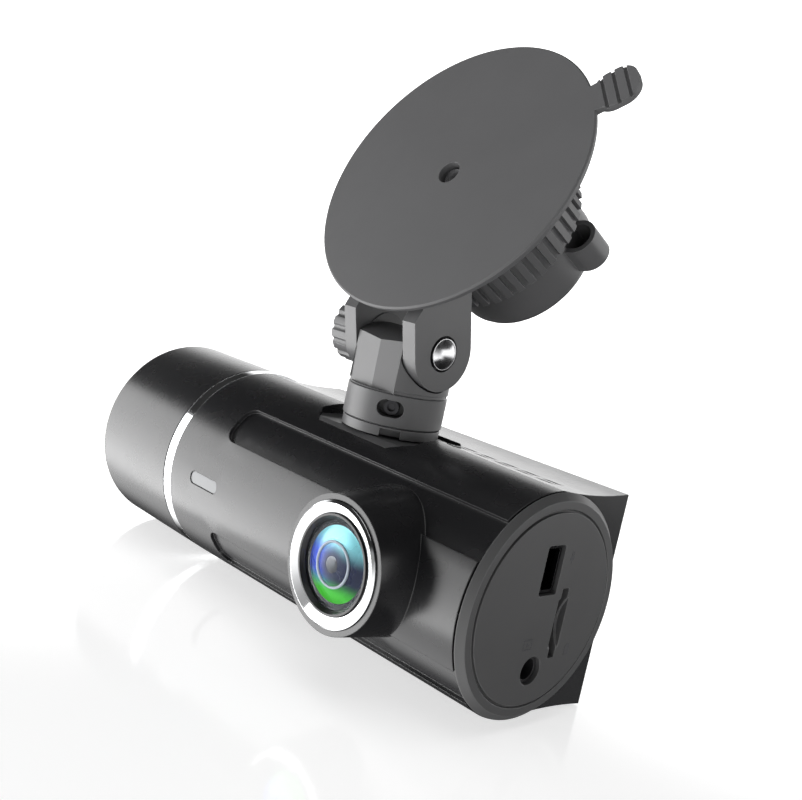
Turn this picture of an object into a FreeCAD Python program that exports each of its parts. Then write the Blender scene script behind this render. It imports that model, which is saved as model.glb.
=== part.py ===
"""Dash camera with a turning cabin barrel, on a twist-lock suction mount.

Units are millimetres. The row frame has +Z up, -Y towards the windscreen and
+X along the camera barrel towards its port face. The origin is the centre of
the suction face. Camera pieces are drawn in barrel coordinates, where y and z
are measured from the barrel axis and x from the stem axis. Suction pieces are
drawn in cup coordinates, where w is the depth behind the suction face and v
points down the face towards the fork.
"""
import FreeCAD, Part
import math
import os
from FreeCAD import Placement, Rotation, Vector

# ---------------------------------------------------------------- driving sizes
# Camera barrel
BARREL_RADIUS = 20.0
PORT_RADIUS = 18.9          # the housing narrows a little towards its port end
BODY_LENGTH = 79.1          # bright ring to port face
PORT_OFFSET = 41.7          # stem axis to port face
RING_WIDTH = 2.4
CABIN_LENGTH = 25.6         # turning barrel beyond the ring
WALL = 1.9
CHANNEL_DEPTH = 0.7
CHANNEL_TOP_ANGLE = 49.5    # degrees above the front centre line
CHANNEL_LOW_ANGLE = 27.5
CHANNEL_BEVEL = 0.45
CHANNEL_START = 12.6        # distance of the channel's round end from the ring
CHANNEL_CORNER = 2.4
BLOCK_DEPTH = 19.2          # barrel axis to the flat back
BLOCK_TOP = 17.9            # height of the flat back's top edge
BLOCK_BOTTOM = 19.9         # drop of the flat back's bottom edge
BLOCK_DIP = 0.5             # the top and bottom are hollow by this much
PORT_STEP = 1.9             # port cap stands this far past the housing

# Front lens
LENS_FROM_PORT = 22.3
LENS_RISE = 0.9
LENS_REACH = 25.5           # barrel axis to the flat front of the lens housing
LENS_RADIUS = 11.0
LENS_BASE_RADIUS = 12.3
BEZEL_RADIUS = 9.95
BEZEL_BORE = 7.9
GLASS_RADIUS = 6.9
GLASS_CROWN = 1.5           # glass stands this far past the housing
GLASS_CURVE = 14.0
SENSOR_BOARD_Y = -4.4

# Indicator, vents, ports
LAMP_LENGTH = 8.6
LAMP_HEIGHT = 2.3
LAMP_FROM_RING = 11.2
VENT_GROUPS = 6
VENT_PITCH = 4.75
VENT_LENGTH = 3.2
VENT_WIDTH = 0.9
VENT_SLANT = 0.9
VENT_ROWS = (4.3, 6.5)
VENT_START = 7.3
USB_HEIGHT = 7.6
USB_WIDTH = 3.9
CARD_SLOT_HEIGHT = 11.8
CARD_SLOT_WIDTH = 1.7
CARD_Y = 4.6
CARD_Z = -2.7
JACK_BORE_RADIUS = 2.4
JACK_Z = -10.2
USB_Y = -0.2
USB_Z = 6.5

# Sound and backup power
SPEAKER_X = -7.5
SPEAKER_Y = -12.0
SPEAKER_Z = 6.9
SPEAKER_RADIUS = 5.2
MICROPHONE_RADIUS = 2.2
CELL_RADIUS = 3.8
CELL_LENGTH = 14.0
CELL_Z = -11.0

# Screen side
SCREEN_LENGTH = 52.0
SCREEN_HEIGHT = 34.0
SCREEN_CENTRE_X = -7.4
KEY_X = 27.5
KEY_PITCH = 6.4
KEY_LENGTH = 7.0
KEY_HEIGHT = 3.6
KEY_TRAVEL = 0.4
KEY_NAMES = ("key_power", "key_up", "key_menu", "key_down", "key_confirm")

# Pivot of the cabin barrel
PIVOT_RADIUS = 6.0
BUSH_RADIUS = 8.1
HUB_SCREW_COUNT = 3
HUB_SCREW_CIRCLE = 15.2
WINDOW_DROP = 1.3           # the cabin window lies this far below the barrel's outline

# Mount seat, foot and stem
SEAT_LENGTH = 25.0
SEAT_WIDTH = 18.6
SEAT_CORNER = 3.4
SEAT_FLOOR = 17.7           # height of the seat above the barrel axis
SEAT_THICKNESS = 2.0
SEAT_WELL_WALL = 1.4
NECK_RADIUS = 5.4
FOOT_RADIUS = 8.9
FOOT_HEIGHT = 2.0
FOOT_NOTCH_WIDTH = 3.7
FOOT_NOTCH_TURN = 46.0      # degrees from the windscreen side towards the port face
LUG_RADIUS = 7.0            # bayonet lugs
LUG_HALF_WIDTH = 1.9
LUG_THICKNESS = 1.4
TWIST_RANGE = 60.0          # degrees from locked to free
COLLAR_RADIUS = 9.1
COLLAR_HEIGHT = 5.9
COLLAR_GROOVE = 0.5
COLLAR_HOLE_TURN = -49.0
COLLAR_HOLE_WIDTH = 4.8
COLLAR_HOLE_HEIGHT = 3.0
HINGE_HEIGHT = 34.0         # barrel axis to tilt axis
TONGUE_WIDTH = 11.8
TONGUE_DEPTH = 13.4
TONGUE_CREASE = 0.9         # the two front facets meet this far right of centre
TONGUE_FACET_RISE = 0.8
TONGUE_CREST = 2.9          # tongue top above the tilt axis
TONGUE_CROWN = 12.2         # radius of its rounded top
BOLT_RADIUS = 2.0

# Suction cup and fork
FACE_TILT = 25.0            # the suction face looks up by this angle
DISC_RADIUS = 28.1
DISC_EDGE = 1.2
HINGE_DROP = 28.9           # cup axis to tilt axis, down the face
HINGE_DEPTH = 11.9          # suction face to tilt axis
EAR_THICKNESS = 3.1
EAR_HALF_WIDTH = 6.8
EAR_LEAN = 16.6             # ears lean towards the windscreen
FLANGE_RADIUS = 25.0
SKIRT_RADIUS = 16.6
RIB_COUNT = 44
RIB_HEIGHT = 0.75
SKIRT_END = 17.9            # depth of the ribbed skirt's back edge
KNOB_RADIUS = 14.5
KNOB_END = 29.2
LUG_ANGLE = 11.0
LUG_REACH = 19.1
LUG_WIDTH = 7.0
LUG_WALL = 0.9
LUG_START = 21.0
LUG_END = 27.2
TAB_ANGLE = 38.0
TAB_REACH = 36.0
TAB_WIDTH = 7.8
TAB_THICKNESS = 1.3
POST_RADIUS = 1.7
POST_TRAVEL = 1.8
PIN_RADIUS = 0.7
PIN_REACH = 5.6
NUT_RADIUS = 6.1
NUT_THICKNESS = 5.3
NUT_FLUTES = 15
NUT_FLUTE_RADIUS = 0.8
INSERT_RADIUS = 3.2
HEAD_RADIUS = 2.8
HEAD_BORE = 3.25

# Clearances
FIT = 0.1                   # pieces seated in each other
MOVE = 0.3                  # pieces that move past each other
RUNNING = 0.05              # shafts in their bushes

# ------------------------------------------------------------- derived places
PORT_X = PORT_OFFSET
RING_X = PORT_X - BODY_LENGTH
CABIN_RIGHT = RING_X - RING_WIDTH - MOVE
CABIN_LEFT = CABIN_RIGHT - CABIN_LENGTH
INNER_RADIUS = BARREL_RADIUS - WALL
FLOOR_RADIUS = BARREL_RADIUS - CHANNEL_DEPTH
LENS_X = PORT_X - LENS_FROM_PORT
HOUSING_END = PORT_X - PORT_STEP
SHELL_END = PORT_X - 1.5
EAR_INNER = TONGUE_WIDTH / 2 + MOVE
EAR_OUTER = EAR_INNER + EAR_THICKNESS
TILT = math.radians(FACE_TILT)
HINGE_Y = HINGE_DEPTH * math.cos(TILT) - HINGE_DROP * math.sin(TILT)
HINGE_Z = -HINGE_DEPTH * math.sin(TILT) - HINGE_DROP * math.cos(TILT)
AXIS_Y = HINGE_Y
AXIS_Z = HINGE_Z - HINGE_HEIGHT
BACK_WALL = BLOCK_DEPTH - 1.9
BOARD_Y = 2.4
BOARD_THICKNESS = 1.2
BOSS_X = (RING_X + 3.4, SCREEN_CENTRE_X + SCREEN_LENGTH / 2 + 0.2)
BOSS_Z = 13.4
BOSS_RADIUS = 2.4
WELL_LOW = SEAT_FLOOR - SEAT_THICKNESS - SEAT_WELL_WALL - FIT
COLLAR_BOTTOM = SEAT_FLOOR + FOOT_HEIGHT + FIT
COLLAR_TOP = COLLAR_BOTTOM + COLLAR_HEIGHT

PIN_FLOOR = KNOB_END - 4.2

BARREL_PLACE = Placement(Vector(0, AXIS_Y, AXIS_Z), Rotation())
CUP_PLACE = Placement(Vector(0, 0, 0), Rotation(Vector(1, 0, 0), -90.0 - FACE_TILT))


# ------------------------------------------------------------------- helpers
def box(x0, x1, y0, y1, z0, z1):
    """Block between two corners."""
    return Part.makeBox(x1 - x0, y1 - y0, z1 - z0, Vector(x0, y0, z0))


def rod_x(radius, x0, x1, y=0.0, z=0.0):
    """Cylinder along X."""
    return Part.makeCylinder(radius, x1 - x0, Vector(x0, y, z), Vector(1, 0, 0))


def rod_y(radius, y0, y1, x=0.0, z=0.0):
    """Cylinder along Y."""
    return Part.makeCylinder(radius, y1 - y0, Vector(x, y0, z), Vector(0, 1, 0))


def rod_z(radius, z0, z1, x=0.0, y=0.0):
    """Cylinder along Z."""
    return Part.makeCylinder(radius, z1 - z0, Vector(x, y, z0), Vector(0, 0, 1))


def barrel_radius(x):
    """Outside radius of the housing's round front at a place along it."""
    share = (x - RING_X) / BODY_LENGTH
    return BARREL_RADIUS + (PORT_RADIUS - BARREL_RADIUS) * share


def barrel_cone(inset, x0, x1):
    """Gently tapering round bar, inset from the housing's outside."""
    start = barrel_radius(x0) - inset
    end = barrel_radius(x1) - inset
    return Part.makeCone(start, end, x1 - x0, Vector(x0, 0, 0), Vector(1, 0, 0))


def tube(rod, radius_in, radius_out, a, b, u=0.0, v=0.0):
    """Tube made by one of the rod functions."""
    return rod(radius_out, a, b, u, v).cut(rod(radius_in, a - 1, b + 1, u, v))


def prism(points, direction):
    """Solid swept from a closed polygon of points."""
    wire = Part.makePolygon(points + [points[0]])
    return Part.Face(wire).extrude(direction)


def turned_z(profile):
    """Solid of revolution about Z from (radius, height) points."""
    points = [Vector(r, 0, h) for r, h in profile]
    face = Part.Face(Part.makePolygon(points + [points[0]]))
    return face.revolve(Vector(0, 0, 0), Vector(0, 0, 1), 360)


def turned_x(profile):
    """Solid of revolution about X from (x, radius) points."""
    points = [Vector(x, 0, r) for x, r in profile]
    face = Part.Face(Part.makePolygon(points + [points[0]]))
    return face.revolve(Vector(0, 0, 0), Vector(1, 0, 0), 360)


def turned_y(profile, x, z):
    """Solid of revolution about the line along Y through (x, z), from (y, radius) points."""
    points = [Vector(x + r, y, z) for y, r in profile]
    face = Part.Face(Part.makePolygon(points + [points[0]]))
    return face.revolve(Vector(x, 0, z), Vector(0, 1, 0), 360)


def slot_wire(length, height, corner, place):
    """Rounded rectangle in a local XY plane, put in place."""
    a = length / 2 - corner
    b = height / 2 - corner
    edges = []
    for ux, uy, angle in ((a, b, 0), (-a, b, 90), (-a, -b, 180), (a, -b, 270)):
        edges.append(Part.makeCircle(corner, Vector(ux, uy, 0), Vector(0, 0, 1), angle, angle + 90))
    joined = []
    for index, edge in enumerate(edges):
        joined.append(edge)
        start = edge.valueAt(edge.LastParameter)
        following = edges[(index + 1) % 4]
        end = following.valueAt(following.FirstParameter)
        if (end - start).Length > 1e-6:
            joined.append(Part.makeLine(start, end))
    wire = Part.Wire(Part.__sortEdges__(joined))
    wire.Placement = place
    return wire


def slot_prism(length, height, corner, place, depth):
    """Rounded rectangular prism, swept along the placed local Z."""
    face = Part.Face(slot_wire(length, height, corner, place))
    return face.extrude(place.Rotation.multVec(Vector(0, 0, depth)))


def facing_y(x, y, z):
    """Placement whose local X is X, local Y is Z and local Z is -Y."""
    return Placement(Vector(x, y, z), Rotation(Vector(1, 0, 0), 90))


def facing_x(x, y, z):
    """Placement whose local X is Y, local Y is Z and local Z is X."""
    return Placement(Vector(x, y, z), Rotation(Vector(1, 1, 1), 120))


def fused(shapes):
    """One solid from overlapping solids."""
    result = shapes[0].fuse(shapes[1:]) if len(shapes) > 1 else shapes[0]
    return result.removeSplitter()


def cut_all(shape, tools):
    """Shape without the tools."""
    return shape.cut(Part.makeCompound(tools)) if tools else shape


NODES = {}


def keep(name, shape, place=None):
    """Record a finished piece under its node name, in the row frame."""
    piece = shape.copy()
    if place is not None:
        piece.Placement = place.multiply(piece.Placement)
    NODES[name] = piece


def keep_barrel(name, shape):
    """Keep a piece drawn in barrel coordinates."""
    keep(name, shape, BARREL_PLACE)


def keep_cup(name, shape):
    """Keep a piece drawn in cup coordinates."""
    keep(name, shape, CUP_PLACE)


# ------------------------------------------------------- housing of the camera
def channel_cutter(low_angle, high_angle):
    """Loft that cuts one recessed channel with sloped walls and a round left end."""
    middle = math.radians((low_angle + high_angle) / 2)
    span = math.radians(high_angle - low_angle)
    length = SHELL_END - RING_X - CHANNEL_START + 10
    centre_x = RING_X + CHANNEL_START + length / 2
    wires = []
    for radius, grow in ((FLOOR_RADIUS - 3, -CHANNEL_BEVEL), (BARREL_RADIUS + 0.5, CHANNEL_BEVEL)):
        height = 2 * BARREL_RADIUS * math.sin(span / 2) + grow
        centre = Vector(centre_x, -radius * math.cos(middle), radius * math.sin(middle))
        turn = Rotation(Vector(1, 0, 0), 90 - math.degrees(middle))
        wires.append(slot_wire(length + grow, height, CHANNEL_CORNER, Placement(centre, turn)))
    loft = Part.makeLoft(wires, True, True)
    return loft.cut(barrel_cone(CHANNEL_DEPTH, RING_X - 1, PORT_X + 12))


def block_section(x, inset):
    """Outline of the rear housing in the YZ plane at x, inset from the outside."""
    top = BLOCK_TOP - inset
    bottom = BLOCK_BOTTOM - inset
    back = BLOCK_DEPTH - inset
    start = barrel_radius(x) - inset
    middle = back * 0.45
    high = (start + top) / 2 - BLOCK_DIP
    low = (start + bottom) / 2 - BLOCK_DIP
    upper = Part.Arc(Vector(x, 0, start), Vector(x, middle, high), Vector(x, back, top)).toShape()
    rear = Part.makeLine(Vector(x, back, top), Vector(x, back, -bottom))
    lower = Part.Arc(Vector(x, back, -bottom), Vector(x, middle, -low), Vector(x, 0, -start)).toShape()
    front = Part.makeLine(Vector(x, 0, -start), Vector(x, 0, start))
    return Part.Wire([upper, rear, lower, front])


def block_solid(inset, x0, x1):
    """Rear housing as a solid between two places along it, inset from the outside."""
    return Part.makeLoft([block_section(x0, inset), block_section(x1, inset)], True, True)


def seat_prism(grow, z0, z1):
    """Eight-sided prism of the mount seat."""
    a = SEAT_LENGTH / 2 + grow
    b = SEAT_WIDTH / 2 + grow
    c = SEAT_CORNER
    corners = ((a, b - c), (a - c, b), (c - a, b), (-a, b - c), (-a, c - b), (c - a, -b), (a - c, -b), (a, c - b))
    return prism([Vector(x, y, z0) for x, y in corners], Vector(0, 0, z1 - z0))


def seat_well(side):
    """Well under the seat plate, in the front (-1) or rear (1) half of the housing."""
    a = SEAT_LENGTH / 2 + SEAT_WELL_WALL
    b = SEAT_WIDTH / 2 + SEAT_WELL_WALL * 0.6
    well = box(-a, a, -b, -FIT / 2, WELL_LOW, SEAT_FLOOR)
    if side > 0:
        well = box(-a, a, FIT / 2, b, WELL_LOW, SEAT_FLOOR)
    well = well.common(barrel_cone(0.6, -a - 1, a + 1))
    return well.cut(rod_z(LUG_RADIUS + 0.6, WELL_LOW - 1, SEAT_FLOOR + 1))


def seat_pocket():
    """Cutter that clears the seat plate and everything above it."""
    return seat_prism(FIT, SEAT_FLOOR - SEAT_THICKNESS - FIT, BARREL_RADIUS + 5)


def shell_collar(x, z, bore, y_end):
    """Ring standing on the inside of the front shell, open at its inner end."""
    ring = tube(rod_y, bore, bore + 1.0, -BARREL_RADIUS, y_end, x, z)
    return ring.common(barrel_cone(WALL - 0.5, RING_X, PORT_X))


def lamp_place(radius):
    """Placement of the indicator slot on the front of the barrel."""
    return facing_y(RING_X + LAMP_FROM_RING, -radius, 0)


def make_front_shell():
    """Front half of the main barrel, with channels and the lens housing."""
    outer = barrel_cone(0, RING_X, SHELL_END)
    boss = turned_y([(-LENS_REACH, 0), (-LENS_REACH, LENS_RADIUS), (-13.0, LENS_BASE_RADIUS), (-13.0, 0)],
                    LENS_X, LENS_RISE)
    low = CHANNEL_LOW_ANGLE
    high = CHANNEL_TOP_ANGLE
    shell = outer.cut(channel_cutter(low, high)).cut(channel_cutter(-high, -low))
    shell = shell.fuse(boss)
    tools = [
        barrel_cone(WALL, RING_X + 3, SHELL_END + 1),
        rod_x(BUSH_RADIUS + FIT, RING_X - 1, RING_X + 4),
        box(RING_X - 1, PORT_X + 1, -FIT / 2, 40, -40, 40),
        rod_y(BEZEL_RADIUS + FIT, -LENS_REACH - 1, -LENS_REACH + 1.5, LENS_X, LENS_RISE),
        rod_y(BEZEL_BORE + FIT, -LENS_REACH - 1, 0, LENS_X, LENS_RISE),
        slot_prism(LAMP_LENGTH + 2 * FIT, LAMP_HEIGHT + 2 * FIT, 1.1, lamp_place(BARREL_RADIUS - 4), 6),
        seat_pocket(),
    ]
    shell = cut_all(shell, tools)
    inside = [shell_collar(SPEAKER_X, SPEAKER_Z, SPEAKER_RADIUS + FIT, SPEAKER_Y + 1.6),
              shell_collar(SPEAKER_X, -SPEAKER_Z, MICROPHONE_RADIUS + FIT, SPEAKER_Y),
              seat_well(-1)]
    for x in BOSS_X:
        for side in (-1, 1):
            boss_rod = rod_y(BOSS_RADIUS - 0.2, -14.5, -MOVE, x, side * BOSS_Z)
            inside.append(boss_rod.common(barrel_cone(WALL - 0.5, RING_X, PORT_X)))
    for side_x in (-1, 1):
        for side_z in (-1, 1):
            post = rod_y(1.4, -BARREL_RADIUS, SENSOR_BOARD_Y - 1.4, LENS_X + side_x * 7.2, LENS_RISE + side_z * 7.2)
            inside.append(post.common(barrel_cone(WALL - 0.5, RING_X, PORT_X)))
    shell = fused([shell] + inside)
    finish = [rod_y(0.95, -9, 1, x, side * BOSS_Z) for x in BOSS_X for side in (-1, 1)]
    finish.append(seat_pocket())
    keep_barrel("front_shell", cut_all(shell, finish))


def vent_cutters():
    """Slanted slots in two rows through the hollow top of the rear housing."""
    cutters = []
    for group in range(VENT_GROUPS):
        for row in VENT_ROWS:
            x = VENT_START + group * VENT_PITCH
            half = VENT_WIDTH / 2
            corners = ((x, row - half), (x + VENT_LENGTH, row - half),
                       (x + VENT_LENGTH + VENT_SLANT, row + half), (x + VENT_SLANT, row + half))
            cutters.append(prism([Vector(a, b, BLOCK_TOP - 6) for a, b in corners], Vector(0, 0, 9)))
    return cutters


def make_rear_shell():
    """Rear half of the main barrel and the screen housing behind it."""
    outer = block_solid(0, RING_X, HOUSING_END)
    hollow = block_solid(WALL, RING_X + 3, HOUSING_END - 2)
    tools = [
        hollow,
        box(RING_X - 1, PORT_X + 1, -40, FIT / 2, -40, 40),
        rod_x(BUSH_RADIUS + FIT, RING_X - 1, RING_X + 4),
        barrel_cone(WALL, HOUSING_END - 5, HOUSING_END + 1),
        slot_prism(SCREEN_LENGTH + 2 * FIT + 6, SCREEN_HEIGHT + 2 * FIT + 1, 1.2,
                   facing_y(SCREEN_CENTRE_X, BLOCK_DEPTH + 1, 0), 2.2),
        slot_prism(SCREEN_LENGTH - 6, SCREEN_HEIGHT - 4, 1.0, facing_y(SCREEN_CENTRE_X, BLOCK_DEPTH + 1, 0), 6),
        seat_pocket(),
    ]
    for index in range(len(KEY_NAMES)):
        z = key_height(index)
        tools.append(slot_prism(KEY_LENGTH + MOVE, KEY_HEIGHT + MOVE, 1.2, facing_y(KEY_X, BLOCK_DEPTH + 1, z), 6))
    tools += vent_cutters()
    shell = cut_all(outer, tools)
    inside = [rod_y(BOSS_RADIUS, MOVE, BACK_WALL + 0.6, x, side * BOSS_Z) for x in BOSS_X for side in (-1, 1)]
    inside.append(seat_well(1))
    shell = fused([shell] + inside)
    holes = [rod_y(1.2, 0, BLOCK_DEPTH, x, side * BOSS_Z) for x in BOSS_X for side in (-1, 1)]
    holes += [rod_y(2.1, BACK_WALL - 1.2, BLOCK_DEPTH + 1, x, side * BOSS_Z) for x in BOSS_X for side in (-1, 1)]
    holes.append(seat_pocket())
    keep_barrel("rear_shell", cut_all(shell, holes))


def make_port_cap():
    """End cap with the card slot, the power opening and the video jack bore."""
    outer = PORT_RADIUS - FIT
    face = PORT_X
    neck = PORT_RADIUS - WALL - FIT
    rim = SHELL_END + MOVE
    profile = [(HOUSING_END, 0), (HOUSING_END, neck), (rim, neck), (rim, outer), (face - 1.1, outer),
               (face - 0.1, outer - 1.1),
               (face - 0.1, outer - 2.4), (face - 0.5, outer - 2.6), (face - 0.5, outer - 2.9), (face, outer - 2.9),
               (face, 0)]
    spigot = tube(rod_x, neck - 1.6, neck, HOUSING_END - 3, HOUSING_END + 0.5)
    cap = fused([turned_x(profile), spigot])
    tools = [
        slot_prism(USB_WIDTH + 0.6, USB_HEIGHT + 0.6, 0.5, facing_x(face - 8, USB_Y, USB_Z), 12),
        slot_prism(CARD_SLOT_WIDTH, CARD_SLOT_HEIGHT, 0.3, facing_x(face - 8, CARD_Y, CARD_Z), 12),
        rod_x(JACK_BORE_RADIUS, face - 8, face + 2, 0, JACK_Z),
        finger_notch(face),
    ]
    keep_barrel("port_cap", cut_all(cap, tools))


def finger_notch(face):
    """Rounded scoop beside the card slot."""
    return rod_y(7.6, CARD_Y - 1.3, CARD_Y + 1.3, face + 6.3, CARD_Z)


def make_ring_trim():
    """Bright ring between the two barrels."""
    ring = tube(rod_x, BARREL_RADIUS - 3.0, BARREL_RADIUS, RING_X - RING_WIDTH, RING_X)
    keep_barrel("ring_trim", ring)


# ------------------------------------------------------------------ front lens
def make_front_lens():
    """Bezel, thin ring, glass, optics, lens barrel and sensor board."""
    front = -LENS_REACH
    x = LENS_X
    z = LENS_RISE
    bezel = turned_y([(front + 1.4, BEZEL_BORE + FIT), (front + 1.4, BEZEL_RADIUS), (front - 0.3, BEZEL_RADIUS),
                      (front - 0.65, BEZEL_RADIUS - 0.45), (front - 0.1, BEZEL_BORE + FIT)], x, z)
    keep_barrel("lens_bezel", bezel)
    seat = front + 1.15
    inner = turned_y([(front + 3.0, GLASS_RADIUS - 0.9), (front + 3.0, BEZEL_BORE), (front - 0.35, BEZEL_BORE),
                      (front - 0.35, BEZEL_BORE - 0.35), (front + 0.6, GLASS_RADIUS + FIT), (seat, GLASS_RADIUS + FIT),
                      (seat, GLASS_RADIUS - 0.9)], x, z)
    keep_barrel("lens_inner_ring", inner)
    dome_centre = front - GLASS_CROWN + GLASS_CURVE
    dome = Part.makeSphere(GLASS_CURVE, Vector(x, dome_centre, z))
    dome = dome.common(rod_y(GLASS_RADIUS, front - 3, seat - RUNNING, x, z))
    inner_sphere = Part.makeSphere(GLASS_CURVE - 1.2, Vector(x, dome_centre, z))
    keep_barrel("lens_glass", dome.cut(inner_sphere))
    nose = front + 3.2
    flange = SENSOR_BOARD_Y - 1.4
    barrel = turned_y([(nose, 5.0), (nose, 6.4), (flange - 3.2, 6.4), (flange - 3.2, 7.6), (flange, 7.6), (flange, 4.2),
                       (flange - 2.2, 4.2), (flange - 2.2, 5.0)], x, z)
    keep_barrel("lens_barrel", barrel)
    element = Part.makeSphere(6.4, Vector(x, nose + 6.8, z))
    element = element.common(rod_y(5.0 - RUNNING, nose, nose + 5.0, x, z))
    keep_barrel("lens_optics", element)
    board = slot_prism(17, 17, 1.5, facing_y(x, SENSOR_BOARD_Y, z), 1.4)
    keep_barrel("sensor_board", board)
    sensor = box(x - 3.2, x + 3.2, flange - 1.3, flange, z - 2.4, z + 2.4)
    keep_barrel("image_sensor", sensor)


def make_indicator():
    """Light window on the front, near the ring."""
    lamp = slot_prism(LAMP_LENGTH, LAMP_HEIGHT, 1.0, lamp_place(INNER_RADIUS - 0.6), BARREL_RADIUS - INNER_RADIUS + 0.6)
    skin = barrel_cone(0.15, RING_X, PORT_X)
    keep_barrel("indicator_window", lamp.common(skin))


# ----------------------------------------------------------------- electronics
def make_boards():
    """Main board with its chips, heat spreader and sockets."""
    right = PORT_X - 5.6
    board = box(RING_X + 5, right, BOARD_Y, BOARD_Y + BOARD_THICKNESS, -15.6, 15.6)
    notches = [box(RING_X + 4, RING_X + 7, BOARD_Y - 1, BOARD_Y + 3, -PIVOT_RADIUS - 2, PIVOT_RADIUS + 2),
               box(-SEAT_LENGTH / 2 - 2, SEAT_LENGTH / 2 + 2, BOARD_Y - 1, BOARD_Y + 3, WELL_LOW - 0.5, 20)]
    holes = [rod_y(BOSS_RADIUS + MOVE, BOARD_Y - 1, BOARD_Y + 3, x, side * BOSS_Z) for x in BOSS_X for side in (-1, 1)]
    mounts = [rod_y(0.85, BOARD_Y - 1, BOARD_Y + 3, x, z) for x, z in board_screw_places()]
    keep_barrel("main_board", cut_all(board, holes + mounts + notches))
    chips = [(-20, 3, 12, 12), (-6, 6, 9, 7), (-6, -3.5, 8, 5), (6, -9, 6, 4)]
    parts = [box(x - w / 2, x + w / 2, BOARD_Y - 1.2, BOARD_Y, z - h / 2, z + h / 2) for x, z, w, h in chips]
    keep_barrel("board_chips", Part.makeCompound(parts))
    spreader = box(-27, -1, BOARD_Y - 2.2, BOARD_Y - 1.2, -3, 9.6)
    keep_barrel("heat_spreader", spreader)
    screws = []
    for x, z in board_screw_places():
        screws.append(fused([rod_y(0.75, BOARD_Y + 0.2, BOARD_Y + 4, x, z), rod_y(1.6, BOARD_Y - 0.9, BOARD_Y, x, z),
                             rod_y(0.75, BOARD_Y - 0.1, BOARD_Y + 0.4, x, z)]))
    keep_barrel("board_screws", Part.makeCompound(screws))


def board_screw_places():
    """Centres of the main board's screws."""
    return ((RING_X + 8.5, 10.5), (PORT_X - 9.2, 13.2), (PORT_X - 17.0, -13.2))


def make_sockets():
    """Power socket, card socket and video jack behind the port cap."""
    mouth = PORT_X - 0.6
    shell = slot_prism(USB_WIDTH, USB_HEIGHT, 0.8, facing_x(mouth - 9, USB_Y, USB_Z), 9)
    hollow = slot_prism(USB_WIDTH - 0.8, USB_HEIGHT - 0.8, 0.5, facing_x(mouth - 8, USB_Y, USB_Z), 9)
    tongue = box(mouth - 8.2, mouth - 1.4, USB_Y - 0.5, USB_Y + 0.5, USB_Z - 2.4, USB_Z + 2.4)
    feet = [box(mouth - 8.5, mouth - 6.5, USB_Y + 1.6, BOARD_Y, USB_Z + side * 2.6 - 0.6, USB_Z + side * 2.6 + 0.6)
            for side in (-1, 1)]
    keep_barrel("power_socket", fused([shell.cut(hollow), tongue] + feet))
    back = mouth - 15
    case = box(back, PORT_X - 2.5, BOARD_Y + BOARD_THICKNESS, CARD_Y + 1.4, CARD_Z - 6.6, CARD_Z + 6.6)
    bay = box(back + 1, PORT_X, CARD_Y - 0.55, CARD_Y + 0.65, CARD_Z - 5.7, CARD_Z + 5.7)
    keep_barrel("card_socket", case.cut(bay))
    jack = box(mouth - 12, PORT_X - 2.5, -3.3, BOARD_Y - FIT / 2, JACK_Z - 3, JACK_Z + 3)
    jack = jack.fuse(rod_x(JACK_BORE_RADIUS - FIT, PORT_X - 2.6, PORT_X - 0.8, 0, JACK_Z))
    keep_barrel("video_jack", jack.cut(rod_x(1.8, mouth - 11, PORT_X, 0, JACK_Z)))


def make_small_electronics():
    """Backup cells on the board, speaker and microphone in the front shell's collars."""
    start = RING_X + 6.5
    cells = [rod_x(CELL_RADIUS, start + step * (CELL_LENGTH + 1), start + step * (CELL_LENGTH + 1) + CELL_LENGTH,
                   BOARD_Y - CELL_RADIUS, CELL_Z) for step in range(2)]
    keep_barrel("backup_cells", Part.makeCompound(cells))
    speaker = fused([rod_y(SPEAKER_RADIUS, SPEAKER_Y, SPEAKER_Y + 2.6, SPEAKER_X, SPEAKER_Z),
                     rod_y(3.4, SPEAKER_Y + 2.5, SPEAKER_Y + 4, SPEAKER_X, SPEAKER_Z)])
    keep_barrel("speaker", speaker)
    keep_barrel("microphone", rod_y(MICROPHONE_RADIUS, SPEAKER_Y - 1.4, SPEAKER_Y + 0.4, SPEAKER_X, -SPEAKER_Z))


# ----------------------------------------------------------------- screen side
def key_height(index):
    """Height of a key's centre."""
    return (2 - index) * KEY_PITCH


def make_screen():
    """Cover window and display module in the back face."""
    window = slot_prism(SCREEN_LENGTH + 6, SCREEN_HEIGHT + 1, 1.1, facing_y(SCREEN_CENTRE_X, BLOCK_DEPTH - 0.05, 0), 1.05)
    keep_barrel("screen_window", window)
    module = slot_prism(SCREEN_LENGTH - 9, SCREEN_HEIGHT - 5, 0.8,
                        facing_y(SCREEN_CENTRE_X, BLOCK_DEPTH - 1.15, 0), 3.4)
    keep_barrel("screen_module", module)


def make_keys():
    """Key board, its switches and the five keys with their flanges."""
    back = BACK_WALL - 4.2
    keep_barrel("key_board", box(KEY_X - 5.2, KEY_X + 5.2, back - 1.2, back, -15.4, 15.4))
    stem_y = BACK_WALL - 1.9
    switches = []
    for index in range(len(KEY_NAMES)):
        z = key_height(index)
        switches.append(fused([box(KEY_X - 2, KEY_X + 2, back, back + 1.1, z - 1.7, z + 1.7),
                               rod_y(0.9, back + 1, stem_y - KEY_TRAVEL - FIT, KEY_X, z)]))
    keep_barrel("key_switches", Part.makeCompound(switches))
    for index, name in enumerate(KEY_NAMES):
        z = key_height(index)
        cap = slot_prism(KEY_LENGTH, KEY_HEIGHT, 1.1, facing_y(KEY_X, BLOCK_DEPTH + 0.6, z), BLOCK_DEPTH + 0.6 - stem_y)
        flange = slot_prism(KEY_LENGTH + 1.4, KEY_HEIGHT + 1.4, 1.2, facing_y(KEY_X, BACK_WALL - FIT, z), 0.8)
        keep_barrel(name, fused([cap, flange]))


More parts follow.
